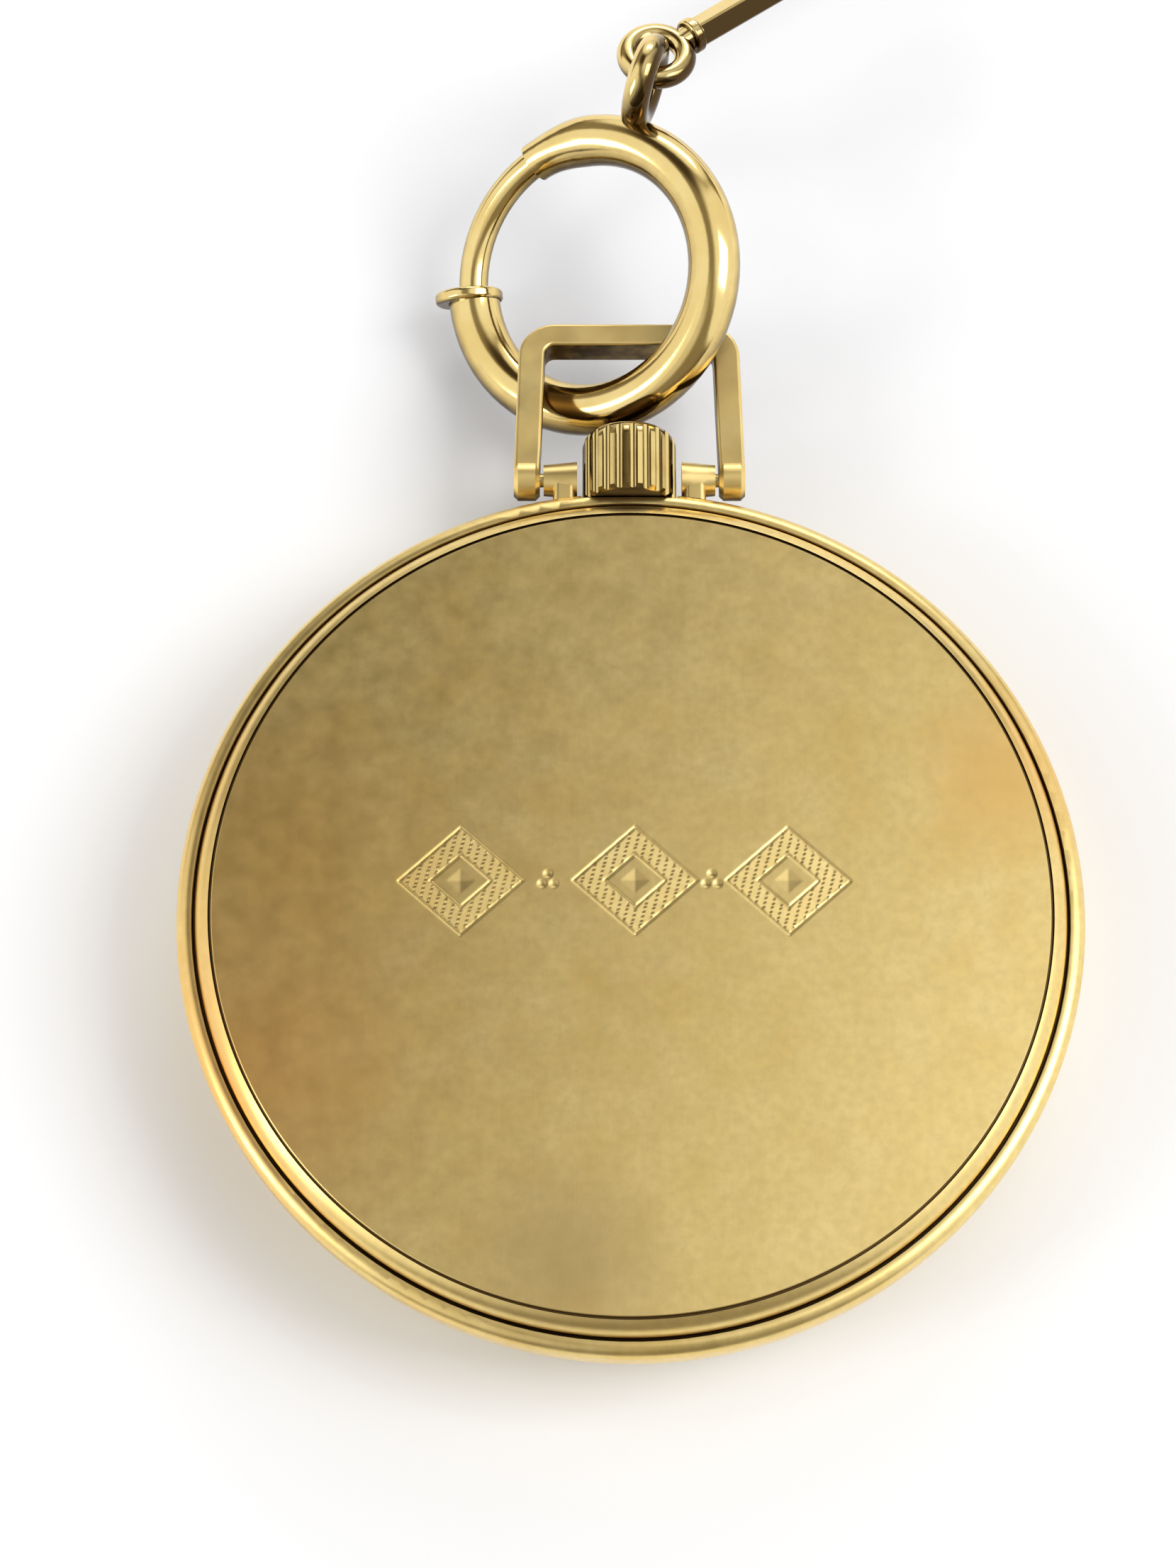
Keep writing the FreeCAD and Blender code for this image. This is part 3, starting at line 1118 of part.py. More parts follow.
def keyless():
    """Winding pinion, sliding clutch, setting lever, clutch lever and its spring."""
    height = amount("stem_height")
    pinion = toothed(0, 0, 0, 1.15, 15, 0.135, 0).cut(cylinder(0, 0, -1, 2, "stem_radius + 0.03"))
    pinion.Placement = Placement(Vector(0, 14.0, height), Rotation(Vector(1, 0, 0), -90))
    part_of_code("winding_pinion", pinion)
    clutch = rod_y(0, height, 12.0, 13.9, 1.0)
    clutch = clutch.cut(rod_y(0, height, 12.55, 13.05, 1.2).cut(rod_y(0, height, 12.5, 13.1, 0.72)))
    hole = Part.makeBox(0.9, 2.2, 0.9, Vector(-0.45, 11.9, height - 0.45))
    part_of_code("clutch", clutch.cut(hole))

    tip = (0.39, 15.62)
    lever = slab([tip, (0.39, 15.42), (1.35, 15.32), (2.4, 14.5), (3.1, 13.6), (4.2, 13.7), (4.3, 14.8), (3.4, 15.0),
                  (2.2, 15.05), (0.9, 15.62)], 6.4, 6.7)
    lever = lever.cut(cylinder(*LEVER_PIVOT, 6, 7, 0.38))
    part_of_code("setting_lever", lever)

    yoke = slab([(0.79, 12.64), (4.0, 12.15), (4.2, 11.9), (7.4, 11.6), (7.4, 12.1), (4.9, 12.6),
                 (4.7, 13.1), (3.9, 13.1), (0.79, 12.96)], 6.4, 6.7)
    part_of_code("clutch_lever", yoke.cut(cylinder(*YOKE_PIVOT, 6, 7, 0.38)))

    blade = ring_of(8.4, 8.6, 6.42, 6.62, 2.75, 2.6).common(pie(8.4, 8.6, 6, 7, 3, 20, 128))
    anchor = cylinder(10.95, 9.6, "plate_high", 6.7, 0.5)
    part_of_code("clutch_lever_spring", blade.fuse(anchor))


# ---------------------------------------------------------------- build, check and write

case()
lugs()
bow_pins()
bow()
crown()
stem()
bolt_ring()
eye_and_link()
dial_side()
main_plate()
bridges()
jewels()
barrel()
train()
escapement()
keyless()
doc.recompute()

for thing in doc.Objects:
    if "Invalid" in thing.State or "Error" in thing.State:
        raise RuntimeError(f"{thing.Name} did not recompute: {thing.State}")
for piece in pieces:
    if piece.Shape.isNull() or not piece.Shape.isValid():
        raise RuntimeError(f"{piece.Label} has no valid shape")
os.makedirs("parts", exist_ok=True)
for piece in pieces:
    piece.Shape.exportStep(os.path.join("parts", piece.Label + ".step"))
    print(f"{piece.Label:22s} {len(piece.Shape.Solids)} solid, {piece.Shape.Volume:.3f} mm3")
print(len(pieces), "nodes")
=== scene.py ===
"""Looks of a gold open-face pocket watch that lies dial down: finishes, engraving and studio.

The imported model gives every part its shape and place. This script gives each part a procedural
finish, replaces the back cover by a finer mesh that carries its engraving, and sets up the studio.
Everything is in metres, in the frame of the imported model: +Z out of the case back, +Y towards
the winding crown.
"""
import json
import math

import bmesh
import bpy
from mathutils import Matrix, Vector


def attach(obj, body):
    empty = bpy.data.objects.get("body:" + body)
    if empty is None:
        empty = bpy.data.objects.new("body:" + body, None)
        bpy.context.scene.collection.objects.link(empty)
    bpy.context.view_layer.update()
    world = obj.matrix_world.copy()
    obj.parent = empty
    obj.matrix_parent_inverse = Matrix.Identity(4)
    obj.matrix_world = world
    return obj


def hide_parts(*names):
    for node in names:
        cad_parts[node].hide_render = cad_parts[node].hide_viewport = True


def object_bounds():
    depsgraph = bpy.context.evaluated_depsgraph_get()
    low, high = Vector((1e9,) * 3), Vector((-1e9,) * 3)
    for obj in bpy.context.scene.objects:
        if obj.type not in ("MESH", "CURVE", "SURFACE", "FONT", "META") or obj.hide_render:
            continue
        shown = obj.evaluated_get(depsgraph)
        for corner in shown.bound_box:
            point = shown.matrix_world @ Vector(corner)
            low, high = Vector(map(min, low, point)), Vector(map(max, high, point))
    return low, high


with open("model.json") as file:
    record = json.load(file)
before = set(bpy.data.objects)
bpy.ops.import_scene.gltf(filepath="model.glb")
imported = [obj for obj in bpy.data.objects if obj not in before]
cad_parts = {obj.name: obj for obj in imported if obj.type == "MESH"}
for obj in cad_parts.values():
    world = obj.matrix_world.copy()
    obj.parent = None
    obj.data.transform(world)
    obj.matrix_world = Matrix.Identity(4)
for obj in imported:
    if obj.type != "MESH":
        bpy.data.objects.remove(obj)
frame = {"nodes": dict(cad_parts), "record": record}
cad_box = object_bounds()
MM = 0.001
nodes = frame["nodes"]


# ---------------------------------------------------------------- finishes

# a Mix node's sockets share their names across types, so its colour ones are told by number
MIX_COLOUR_INPUTS = (6, 7)
MIX_COLOUR_OUTPUT = 2


class Finish:
    """A node-based material built round one Principled shader, in object coordinates."""

    def __init__(self, name, metallic=1.0, roughness=0.3):
        self.material = bpy.data.materials.new(name)
        self.material.use_nodes = True
        self.tree = self.material.node_tree
        self.shader = self.tree.nodes["Principled BSDF"]
        self.shader.inputs["Metallic"].default_value = metallic
        self.shader.inputs["Roughness"].default_value = roughness
        coordinates = self.tree.nodes.new("ShaderNodeTexCoord")
        self.place = coordinates.outputs["Object"]
        self.normal = coordinates.outputs["Normal"]

    def link(self, source, target):
        self.tree.links.new(source, target)

    def stretched(self, along):
        """Object coordinates scaled by a different amount along each axis."""
        mapping = self.tree.nodes.new("ShaderNodeMapping")
        mapping.inputs["Scale"].default_value = along
        self.link(self.place, mapping.inputs["Vector"])
        return mapping.outputs["Vector"]

    def noise(self, size, detail=3.0, place=None):
        """Noise whose patches are about size metres wide."""
        made = self.tree.nodes.new("ShaderNodeTexNoise")
        made.inputs["Scale"].default_value = 1 / size
        made.inputs["Detail"].default_value = detail
        self.link(place or self.place, made.inputs["Vector"])
        return made.outputs["Fac"]

    def ranged(self, value, low, high, start=0.3, end=0.7):
        """A value between start and end spread from low to high."""
        made = self.tree.nodes.new("ShaderNodeMapRange")
        made.inputs["From Min"].default_value = start
        made.inputs["From Max"].default_value = end
        made.inputs["To Min"].default_value = low
        made.inputs["To Max"].default_value = high
        self.link(value, made.inputs["Value"])
        return made.outputs["Result"]

    def ring(self, radius, half):
        """1 on a ring round the case axis, within half of its radius, and 0 elsewhere."""
        reach = self.tree.nodes.new("ShaderNodeVectorMath")
        reach.operation = "LENGTH"
        self.link(self.stretched((1.0, 1.0, 0.0)), reach.inputs[0])
        made = self.tree.nodes.new("ShaderNodeMath")
        made.operation = "COMPARE"
        self.link(reach.outputs["Value"], made.inputs[0])
        made.inputs[1].default_value = radius
        made.inputs[2].default_value = half
        return made.outputs["Value"]

    def spot(self, centre, inner, outer):
        """1 within inner of a point, fading to 0 at outer."""
        reach = self.tree.nodes.new("ShaderNodeVectorMath")
        reach.operation = "DISTANCE"
        self.link(self.place, reach.inputs[0])
        reach.inputs[1].default_value = centre
        return self.ranged(reach.outputs["Value"], 1.0, 0.0, inner, outer)

    def mixed(self, share, first, second):
        """A colour between two, each a colour or another node's output."""
        made = self.tree.nodes.new("ShaderNodeMix")
        made.data_type = "RGBA"
        self.link(share, made.inputs["Factor"])
        for socket, colour in zip(MIX_COLOUR_INPUTS, (first, second)):
            if isinstance(colour, tuple):
                made.inputs[socket].default_value = (*colour, 1.0)
            else:
                self.link(colour, made.inputs[socket])
        return made.outputs[MIX_COLOUR_OUTPUT]

    def colour(self, output):
        self.link(output, self.shader.inputs["Base Color"])
        return self

    def rough(self, output):
        self.link(output, self.shader.inputs["Roughness"])
        return self

    def bump(self, *layers):
        """Height layers, each (output, height in metres), one on another."""
        normal = None
        for height, depth in layers:
            made = self.tree.nodes.new("ShaderNodeBump")
            made.inputs["Distance"].default_value = depth
            self.link(height, made.inputs["Height"])
            if normal is not None:
                self.link(normal, made.inputs["Normal"])
            normal = made.outputs["Normal"]
        self.link(normal, self.shader.inputs["Normal"])
        return self


# grooves darkened with painted shade, as (radius, half width) in millimetres: round the dome's edge
# and at the cover's seam
GROOVE_SHADE_RINGS = [(20.78, 0.08), (21.62, 0.07)]
# the dark brown painted as shade into those grooves
GROOVE_SHADE = (0.15, 0.09, 0.03)
# spots of other colour on the back as (x, y, full radius, faded radius, colour) in millimetres:
# three warm orange ones and a duller darker one, all at about the height of the dome's edge
TINT_SPOTS = [
    (-19.0, -8.0, 1.0, 11.0, (0.88, 0.50, 0.155)),
    (-17.0, 3.0, 1.0, 9.0, (0.84, 0.53, 0.16)),
    (19.0, 7.0, 1.0, 6.0, (0.86, 0.54, 0.17)),
    (-3.0, -18.0, 1.0, 6.0, (0.62, 0.46, 0.19)),
]
TINT_HEIGHT = 8.6
TINT_STRENGTH = 0.75
# the brown painted as shade on faces turned away from the light, and how far noise moves its edge
SHADE_BROWN = (0.085, 0.05, 0.018)
SHADE_BROWN_UNEVEN = 0.3


def gold_satin():
    """Worn satin gold: fine grain, a cloudy patina and faint brushing across the back."""
    made = Finish("gold_satin", roughness=0.34)
    cloud = made.ranged(made.noise(14 * MM, 3), 0.0, 1.0, 0.35, 0.65)
    broad = made.mixed(cloud, (0.84, 0.585, 0.19), (0.88, 0.665, 0.25))
    smudge = made.ranged(made.noise(2.6 * MM, 6), 0.0, 1.0, 0.3, 0.75)
    worn = made.mixed(smudge, broad, (0.92, 0.715, 0.30))
    mottle = made.ranged(made.noise(0.45 * MM, 4), 0.0, 0.5, 0.35, 0.7)
    shade = made.mixed(mottle, worn, (0.72, 0.53, 0.20))
    speck = made.ranged(made.noise(0.6 * MM, 2), 0.0, 0.3, 0.79, 0.84)
    shade = made.mixed(speck, shade, (0.30, 0.20, 0.07))
    # the spots of other colour, mixed over the gold at given places
    for x, y, full, faded, colour in TINT_SPOTS:
        spot = made.spot((x * MM, y * MM, TINT_HEIGHT * MM), full * MM, faded * MM)
        shade = made.mixed(made.ranged(spot, 0.0, TINT_STRENGTH, 0.0, 1.0), shade, colour)
    # painted shade: the two grooves are darkened to the brown above
    for radius, half in GROOVE_SHADE_RINGS:
        shade = made.mixed(made.ring(radius * MM, half * MM), shade, GROOVE_SHADE)
    made.colour(shade)
    made.rough(made.ranged(made.noise(1.2 * MM, 5), 0.29, 0.35))
    brushed = made.noise(0.12 * MM, 2, made.stretched((1.0, 0.05, 1.0)))
    grain = made.noise(0.09 * MM, 3)
    made.bump((grain, 1.0e-6), (brushed, 0.8e-6))
    return made.material


def gold_polished():
    """Polished gold with a haze of hairlines."""
    made = Finish("gold_polished", roughness=0.1)
    cloud = made.ranged(made.noise(3 * MM, 3), 0.0, 1.0)
    made.colour(made.mixed(cloud, (0.84, 0.64, 0.27), (0.90, 0.71, 0.33)))
    made.rough(made.ranged(made.noise(0.8 * MM, 4), 0.07, 0.17))
    made.bump((made.noise(0.7 * MM, 2), 2.0e-6), (made.noise(0.06 * MM, 2), 0.25e-6))
    return made.material


def gold_painted_shade(name, rough, low, high, lit_side=(0.0, 0.0, 1.0)):
    """Gold bright on faces turned to the lit side and brown round the rest, as painted shade.

    The painted shade starts where a face's normal has less than high of its length towards the
    lit side, and is full under low.
    """
    made = Finish(name, roughness=rough)
    cloud = made.ranged(made.noise(2.5 * MM, 3), 0.0, 1.0)
    bright = made.mixed(cloud, (0.83, 0.60, 0.215), (0.91, 0.70, 0.29))
    # painted shade: how far each face turns towards the lit side sets how much brown it gets
    facing = made.tree.nodes.new("ShaderNodeVectorMath")
    facing.operation = "DOT_PRODUCT"
    made.link(made.normal, facing.inputs[0])
    facing.inputs[1].default_value = Vector(lit_side).normalized()
    uneven = made.tree.nodes.new("ShaderNodeMath")
    uneven.operation = "MULTIPLY_ADD"
    made.link(made.noise(1.1 * MM, 3), uneven.inputs[0])
    uneven.inputs[1].default_value = SHADE_BROWN_UNEVEN
    made.link(facing.outputs["Value"], uneven.inputs[2])
    # 0 gives the painted shade's brown, 1 the gold
    worn = made.ranged(uneven.outputs["Value"], 0.0, 1.0, low, high)
    made.colour(made.mixed(worn, SHADE_BROWN, bright))
    made.rough(made.ranged(made.noise(2.0 * MM, 3), 0.9 * rough, 1.2 * rough))
    made.bump((made.noise(0.6 * MM, 2), 2.0e-6), (made.noise(0.07 * MM, 2), 0.3e-6))
    return made.material


def plain_metal(name, dark, light, rough, grain):
    """A machined metal: two close shades, grain of the given size and matching roughness."""
    made = Finish(name)
    made.colour(made.mixed(made.ranged(made.noise(1.5 * MM, 3), 0.0, 1.0), dark, light))
    made.rough(made.ranged(made.noise(grain, 3), rough * 0.75, rough * 1.3))
    made.bump((made.noise(grain, 2), 0.6e-6))
    return made.material


def nickel_plate():
    """Nickel-plated bridges with straight polished stripes."""
    made = Finish("nickel_plate")
    stripes = made.tree.nodes.new("ShaderNodeTexWave")
    stripes.inputs["Scale"].default_value = 1 / (5.0 * MM)
    stripes.inputs["Distortion"].default_value = 0.0
    stripes.wave_profile = "SAW"
    made.link(made.place, stripes.inputs["Vector"])
    made.colour(made.mixed(stripes.outputs["Fac"], (0.60, 0.585, 0.56), (0.78, 0.765, 0.735)))
    made.rough(made.ranged(stripes.outputs["Fac"], 0.18, 0.38, 0.0, 1.0))
    made.bump((stripes.outputs["Fac"], 6.0e-6), (made.noise(0.05 * MM, 2), 0.5e-6))
    return made.material


def dial_silver():
    """Fine-grained silvered dial."""
    made = Finish("dial_silver", metallic=0.35, roughness=0.45)
    made.colour(made.mixed(made.noise(0.3 * MM, 4), (0.78, 0.765, 0.72), (0.88, 0.865, 0.82)))
    made.rough(made.ranged(made.noise(0.1 * MM, 3), 0.38, 0.55))
    made.bump((made.noise(0.08 * MM, 2), 2.0e-6))
    return made.material


def ruby():
    """Synthetic ruby of the jewels."""
    made = Finish("ruby", metallic=0.0, roughness=0.08)
    made.colour(made.mixed(made.noise(0.4 * MM, 3), (0.42, 0.015, 0.07), (0.62, 0.03, 0.12)))
    made.rough(made.ranged(made.noise(0.2 * MM, 3), 0.05, 0.12))
    made.shader.inputs["Transmission Weight"].default_value = 0.35
    made.shader.inputs["IOR"].default_value = 1.77
    return made.material


def crystal():
    """Clear watch glass."""
    made = Finish("crystal", metallic=0.0, roughness=0.02)
    made.colour(made.mixed(made.noise(6 * MM, 2), (0.97, 0.985, 0.985), (1.0, 1.0, 1.0)))
    made.rough(made.ranged(made.noise(2 * MM, 3), 0.01, 0.04))
    made.shader.inputs["Transmission Weight"].default_value = 1.0
    made.shader.inputs["IOR"].default_value = 1.52
    return made.material


finishes = {
    "gold_satin": gold_satin(),
    "gold_polished": gold_polished(),
    "crystal": crystal(),
    "dial_silver": dial_silver(),
    "nickel_plate": nickel_plate(),
    "train_gilt": plain_metal("train_gilt", dark=(0.72, 0.50, 0.20), light=(0.86, 0.66, 0.32),
                              rough=0.22, grain=0.15 * MM),
    "steel": plain_metal("steel", dark=(0.50, 0.505, 0.52), light=(0.64, 0.645, 0.66),
                         rough=0.16, grain=0.1 * MM),
    "steel_blued": plain_metal("steel_blued", dark=(0.02, 0.05, 0.22), light=(0.05, 0.10, 0.36),
                               rough=0.15, grain=0.1 * MM),
    "ruby": ruby(),
}

# parts whose gold takes painted shade, brown on faces turned from the light, in place of their
# slot's finish
painted_shade_ring = gold_painted_shade("gold_painted_shade", rough=0.12, low=0.15, high=0.85)
painted_shade_link = gold_painted_shade("gold_painted_shade_link", rough=0.12, low=0.45, high=1.0,
                                lit_side=(-0.5, 0.3, 0.8))
painted_shade_bow = gold_painted_shade("gold_painted_shade_bow", rough=0.34, low=0.2, high=0.6)
painted_shade_nodes = {
    "ring_tube": painted_shade_ring,
    "ring_bolt": painted_shade_ring,
    "ring_eye": painted_shade_link,
    "bar_link": painted_shade_link,
    "link_collars": painted_shade_link,
    "bow": painted_shade_bow,
    "bow_lugs": painted_shade_bow,
    "bow_pin_left": painted_shade_bow,
    "bow_pin_right": painted_shade_bow,
    "crown": gold_painted_shade("gold_painted_shade_crown", rough=0.15, low=0.55, high=1.05),
}

slot_of = {part["node"]: part["material_slot"] for part in frame["record"]["subparts"]}
for name, node in nodes.items():
    for slot in node.material_slots:
        slot.material = painted_shade_nodes.get(name, finishes[slot_of[name]])


# ---------------------------------------------------------------- engraved back

# the back cover in millimetres: the dome's crown, its edge, and the closed outline outside it as
# (radius, height) corners, down the outer side and back under the cover to the axis
DOME_TOP = 9.1
DOME_EDGE = (20.67, 8.62)
DOME_RISE = DOME_TOP - DOME_EDGE[1]
DOME_RADIUS = (DOME_EDGE[0] ** 2 + DOME_RISE ** 2) / (2 * DOME_RISE)
COVER_GROOVE = [(20.74, 8.57), (20.74, 8.46), (20.80, 8.46), (20.86, 8.59)]
COVER_LIP = [(21.59, 7.67), (21.59, 7.47), (20.85, 7.47), (20.85, 7.25), (20.25, 7.25),
             (20.25, 7.98), (19.5, 8.28)]
LIP_RISE = 0.13
# the engraved ornament: three hatched lozenges with a punched trefoil between each two
LOZENGES = (-8.4, 0.2, 7.75)
ORNAMENT_Y = 1.1
LOZENGE_HALF = (3.05, 2.75)
CUT_DEPTH = 0.05
CUT_HALF = 0.09
# in a lozenge, shares of its half size: the two outlines, the hatched band and the faceted middle
OUTLINES = (0.5, 1.0)
HATCHED = (0.54, 0.96)
FACETED = 0.24
HATCH_PITCH = 0.42
HATCH_HEADING = math.radians(75)
HATCH_DEPTH = 0.7 * CUT_DEPTH
PUNCH_REACH = 0.34
PUNCH_RADIUS = 0.24
# the finely meshed patch under the ornament, as (low x, high x, low y, high y)
PATCH = (-11.8, 11.2, -2.0, 4.2)
PATCH_STEP = 0.06
SHARP_ANGLE = math.radians(30)
# rings of the mesh between the patch and the dome's edge, as shares of the way out
DOME_RINGS = (0.03, 0.08, 0.15, 0.25, 0.37, 0.5, 0.62, 0.74, 0.86, 0.95, 1.0)


def dome(x, y):
    """Height of the smooth dome over a point, in millimetres."""
    return DOME_TOP - DOME_RADIUS + math.sqrt(DOME_RADIUS ** 2 - x * x - y * y)


def lozenge_cut(across, along):
    """Depth cut at a point of a lozenge: two outlines, bright-cut hatching and a faceted middle."""
    half_x, half_y = LOZENGE_HALF
    share = abs(across) / half_x + abs(along) / half_y
    slope = math.hypot(1 / half_x, 1 / half_y)
    depth = 0.0
    for outline in OUTLINES:
        off = abs(share - outline) / slope
        depth = max(depth, CUT_DEPTH * (1 - off / CUT_HALF))
    if HATCHED[0] < share < HATCHED[1]:
        sideways = across * math.sin(HATCH_HEADING) - along * math.cos(HATCH_HEADING)
        phase = (sideways / HATCH_PITCH) % 1.0
        depth = max(depth, HATCH_DEPTH * phase)
    if share < FACETED:
        depth = max(depth, CUT_DEPTH * (1 - share / FACETED))
    return depth


def punched(across, along):
    """Depth of a trefoil of three round punch marks."""
    depth = 0.0
    for turn in (90, 210, 330):
        angle = math.radians(turn)
        off_x = across - PUNCH_REACH * math.cos(angle)
        off_y = along - PUNCH_REACH * math.sin(angle)
        depth = max(depth, CUT_DEPTH * (1 - (math.hypot(off_x, off_y) / PUNCH_RADIUS) ** 2))
    return depth


def engraved(x, y):
    """Height of the engraved dome over a point, in millimetres."""
    depth = max(lozenge_cut(x - middle, y - ORNAMENT_Y) for middle in LOZENGES)
    for left, right in zip(LOZENGES, LOZENGES[1:]):
        depth = max(depth, punched(x - (left + right) / 2, y - ORNAMENT_Y))
    return dome(x, y) - depth


def lip_arc(steps=8):
    """The rounded outer shoulder of the cover, from its groove down to the lip."""
    (start_r, start_z), (end_r, end_z) = COVER_GROOVE[-1], COVER_LIP[0]
    length = math.hypot(end_r - start_r, end_z - start_z)
    out_r, out_z = (start_z - end_z) / length, (end_r - start_r) / length
    points = []
    for step in range(1, steps):
        share = step / steps
        rise = LIP_RISE * 4 * share * (1 - share)
        points.append((start_r + (end_r - start_r) * share + out_r * rise,
                       start_z + (end_z - start_z) * share + out_z * rise))
    return points


def add_corner(made, x, y, z):
    """A mesh corner from millimetres."""
    return made.verts.new((x * MM, y * MM, z * MM))


def add_patch(made):
    """Mesh the patch under the ornament and return the ring of corners round it."""
    low_x, high_x, low_y, high_y = PATCH
    count_x = round((high_x - low_x) / PATCH_STEP)
    count_y = round((high_y - low_y) / PATCH_STEP)
    grid = []
    for row in range(count_y + 1):
        y = low_y + (high_y - low_y) * row / count_y
        xs = [low_x + (high_x - low_x) * column / count_x for column in range(count_x + 1)]
        grid.append([add_corner(made, x, y, engraved(x, y)) for x in xs])
    for lower, upper in zip(grid, grid[1:]):
        for column in range(count_x):
            made.faces.new((lower[column], lower[column + 1], upper[column + 1], upper[column]))
    right = [row[-1] for row in grid[1:]]
    left = [row[0] for row in grid[-2:0:-1]]
    return grid[0] + right + grid[-1][-2::-1] + left


def add_ring(made, ring, points):
    """Join a new ring of corners outside the last one and return it."""
    new = [add_corner(made, *point) for point in points]
    for index in range(len(new)):
        after = (index + 1) % len(new)
        made.faces.new((ring[index], new[index], new[after], ring[after]))
    return new


def engraved_back():
    """The back cover again, with a fine patch under the ornament."""
    made = bmesh.new()
    ring = add_patch(made)
    border = [(vert.co.x / MM, vert.co.y / MM) for vert in ring]
    headings = [math.atan2(y, x) for x, y in border]
    for share in DOME_RINGS:
        spread = [(x + (DOME_EDGE[0] * math.cos(a) - x) * share,
                   y + (DOME_EDGE[0] * math.sin(a) - y) * share)
                  for (x, y), a in zip(border, headings)]
        ring = add_ring(made, ring, [(x, y, dome(x, y)) for x, y in spread])
    for radius, height in COVER_GROOVE + lip_arc() + COVER_LIP:
        outline = [(radius * math.cos(a), radius * math.sin(a), height) for a in headings]
        ring = add_ring(made, ring, outline)
    made.faces.new(ring)
    made.normal_update()

    mesh = bpy.data.meshes.new("engraved_back")
    made.to_mesh(mesh)
    made.free()
    for face in mesh.polygons:
        face.use_smooth = True
    mesh.set_sharp_from_angle(angle=SHARP_ANGLE)
    mesh.materials.append(finishes["gold_satin"])
    back = bpy.data.objects.new("engraved_back", mesh)
    bpy.context.scene.collection.objects.link(back)
    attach(back, "back")
    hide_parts("back_cover")


engraved_back()


# ---------------------------------------------------------------- studio

# the camera: lean from straight above, distance from the point aimed at, that point's height on the
# case axis, the shift of the view across and upward, the focal length and sensor width in
# millimetres, and the nearest and farthest it sees in metres
CAMERA_TILT = math.radians(19.3)
CAMERA_DISTANCE = 240 * MM
AIM_HEIGHT = 7.2 * MM
VIEW_ACROSS = -2.12 * MM
VIEW_UPWARD = 6.4 * MM
FOCAL_LENGTH = 111.25
SENSOR_WIDTH = 36.0
CLIP = (0.01, 10)
# the floor: half its side, and how far it lies under the crystal so that the two don't touch
FLOOR_HALF = 3.0
FLOOR_GAP = 0.00002
# light cards of the room: the direction of each, its half angle and soft edge in degrees, and its
# brightness, which is negative where a card darkens what lies under it
OVERHEAD_CARD = ((0, 0, 1), 70, 30, 0.25)
SKY_CARDS = [
    ((1.0, 0.0, 0.5), 36, 12, 1.15),
    ((-1.0, -0.15, 0.5), 30, 14, 1.05),
    ((0.1, 1.0, 0.35), 24, 10, 0.8),
    ((0.48, 0.10, 0.87), 12, 25, 0.95),
    ((-0.4, -0.55, 0.73), 12, 18, 0.5),
    ((-0.25, 0.58, 0.77), 8, 16, -0.26),
]
# what the room's dim, middling and bright light looks like, and how bright the middling one is
DIM_LIGHT = (0.05, 0.036, 0.022, 1)
MIDDLE_LIGHT = (0.36, 0.325, 0.265, 1)
BRIGHT_LIGHT = (0.98, 1.0, 1.05, 1)
MIDDLE_SHARE = 0.35
# area lights: name, place, point that it faces, width, height and power in watts
SOFTBOXES = [
    ("key", (0.62, -0.02, 0.72), (0, 0, 0), 0.40, 0.55, 3.6),
    ("fill", (-0.75, -0.25, 0.45), (0, 0, 0), 0.25, 0.5, 1.8),
    ("rear", (0.15, 0.9, 0.45), (0, 0.03, 0), 0.5, 0.2, 1.4),
]


def camera():
    """The camera looks down on the back from the six o'clock side."""
    back = Vector((0, -math.sin(CAMERA_TILT), math.cos(CAMERA_TILT)))
    up = Vector((0, math.cos(CAMERA_TILT), math.sin(CAMERA_TILT)))
    lens = bpy.data.cameras.new("camera")
    lens.sensor_width = SENSOR_WIDTH
    lens.lens = FOCAL_LENGTH
    lens.clip_start, lens.clip_end = CLIP
    made = bpy.data.objects.new("camera", lens)
    bpy.context.scene.collection.objects.link(made)
    aim = Vector((0, 0, AIM_HEIGHT))
    shift = Vector((VIEW_ACROSS, 0, 0))
    made.location = aim + back * CAMERA_DISTANCE + shift + up * VIEW_UPWARD
    made.rotation_euler = (CAMERA_TILT, 0, 0)
    bpy.context.scene.camera = made


def floor():
    """A plain pale floor under the crystal."""
    mesh = bpy.data.meshes.new("floor")
    half = FLOOR_HALF
    low = cad_box[0].z - FLOOR_GAP
    corners = [(-half, -half, low), (half, -half, low), (half, half, low), (-half, half, low)]
    mesh.from_pydata(corners, [], [(0, 1, 2, 3)])
    made = bpy.data.objects.new("floor", mesh)
    bpy.context.scene.collection.objects.link(made)
    pale = Finish("floor_pale", metallic=0.0, roughness=0.7)
    pale.colour(pale.mixed(pale.noise(40 * MM, 2), (0.93, 0.93, 0.93), (0.95, 0.95, 0.95)))
    mesh.materials.append(pale.material)


def softbox(name, place, aim, width, height, power):
    """A rectangular light that faces a point."""
    light = bpy.data.lights.new(name, "AREA")
    light.shape = "RECTANGLE"
    light.size = width
    light.size_y = height
    light.energy = power
    made = bpy.data.objects.new(name, light)
    bpy.context.scene.collection.objects.link(made)
    made.location = place
    made.rotation_euler = (Vector(aim) - Vector(place)).to_track_quat("-Z", "Y").to_euler()


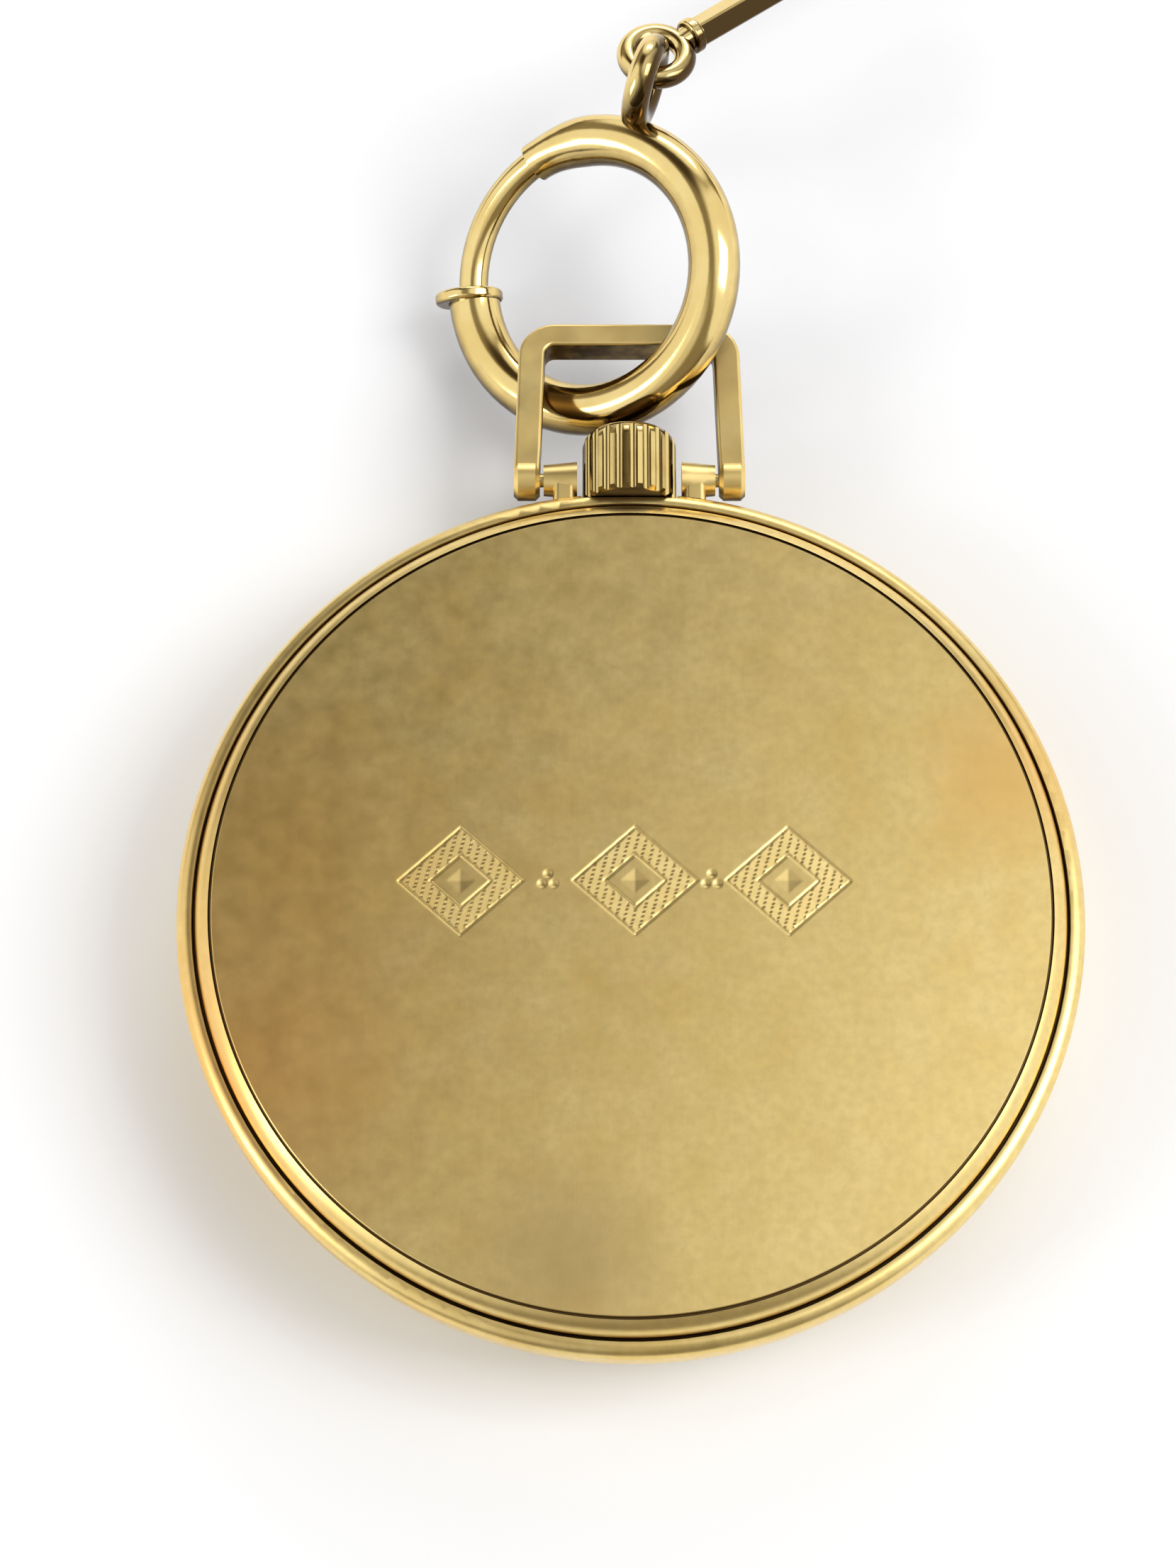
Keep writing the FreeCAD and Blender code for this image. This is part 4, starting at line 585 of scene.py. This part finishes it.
class Room:
    """World nodes that work out the light from each direction."""

    def __init__(self):
        world = bpy.data.worlds.new("room")
        bpy.context.scene.world = world
        world.use_nodes = True
        self.tree = world.node_tree
        self.heading = self.tree.nodes.new("ShaderNodeTexCoord").outputs["Generated"]

    def operation(self, kind, first, second):
        """Arithmetic on two values, each a number or another node's output."""
        made = self.tree.nodes.new("ShaderNodeMath")
        made.operation = kind
        for socket, value in zip(made.inputs, (first, second)):
            if isinstance(value, float):
                socket.default_value = value
            else:
                self.tree.links.new(value, socket)
        return made.outputs["Value"]

    def card(self, towards, wide, edge):
        """1 within wide degrees of a direction, fading to 0 over edge degrees more."""
        dot = self.tree.nodes.new("ShaderNodeVectorMath")
        dot.operation = "DOT_PRODUCT"
        self.tree.links.new(self.heading, dot.inputs[0])
        dot.inputs[1].default_value = Vector(towards).normalized()
        made = self.tree.nodes.new("ShaderNodeMapRange")
        made.interpolation_type = "SMOOTHSTEP"
        made.inputs["From Min"].default_value = math.cos(math.radians(wide + edge))
        made.inputs["From Max"].default_value = math.cos(math.radians(wide))
        self.tree.links.new(dot.outputs["Value"], made.inputs["Value"])
        return made.outputs["Result"]

    def coloured(self, share):
        """Dim light is warm and bright light is neutral."""
        ramp = self.tree.nodes.new("ShaderNodeValToRGB")
        self.tree.links.new(share, ramp.inputs["Fac"])
        ramp.color_ramp.elements[0].color = DIM_LIGHT
        ramp.color_ramp.elements[1].color = BRIGHT_LIGHT
        middle = ramp.color_ramp.elements.new(MIDDLE_SHARE)
        middle.color = MIDDLE_LIGHT
        background = self.tree.nodes["Background"]
        self.tree.links.new(ramp.outputs["Color"], background.inputs["Color"])

    def lit(self, towards, wide, edge, bright):
        """A card's light: its brightness inside it and 0 outside."""
        return self.operation("MULTIPLY", self.card(towards, wide, edge), bright)


def sky():
    """A light tent: bright cards round the sides and overhead, with dark gaps between them."""
    room = Room()
    total = room.lit(*OVERHEAD_CARD)
    for card in SKY_CARDS:
        total = room.operation("ADD", total, room.lit(*card))
    room.coloured(total)


camera()
floor()
sky()
for box in SOFTBOXES:
    softbox(*box)
bpy.context.scene.view_settings.view_transform = "Standard"
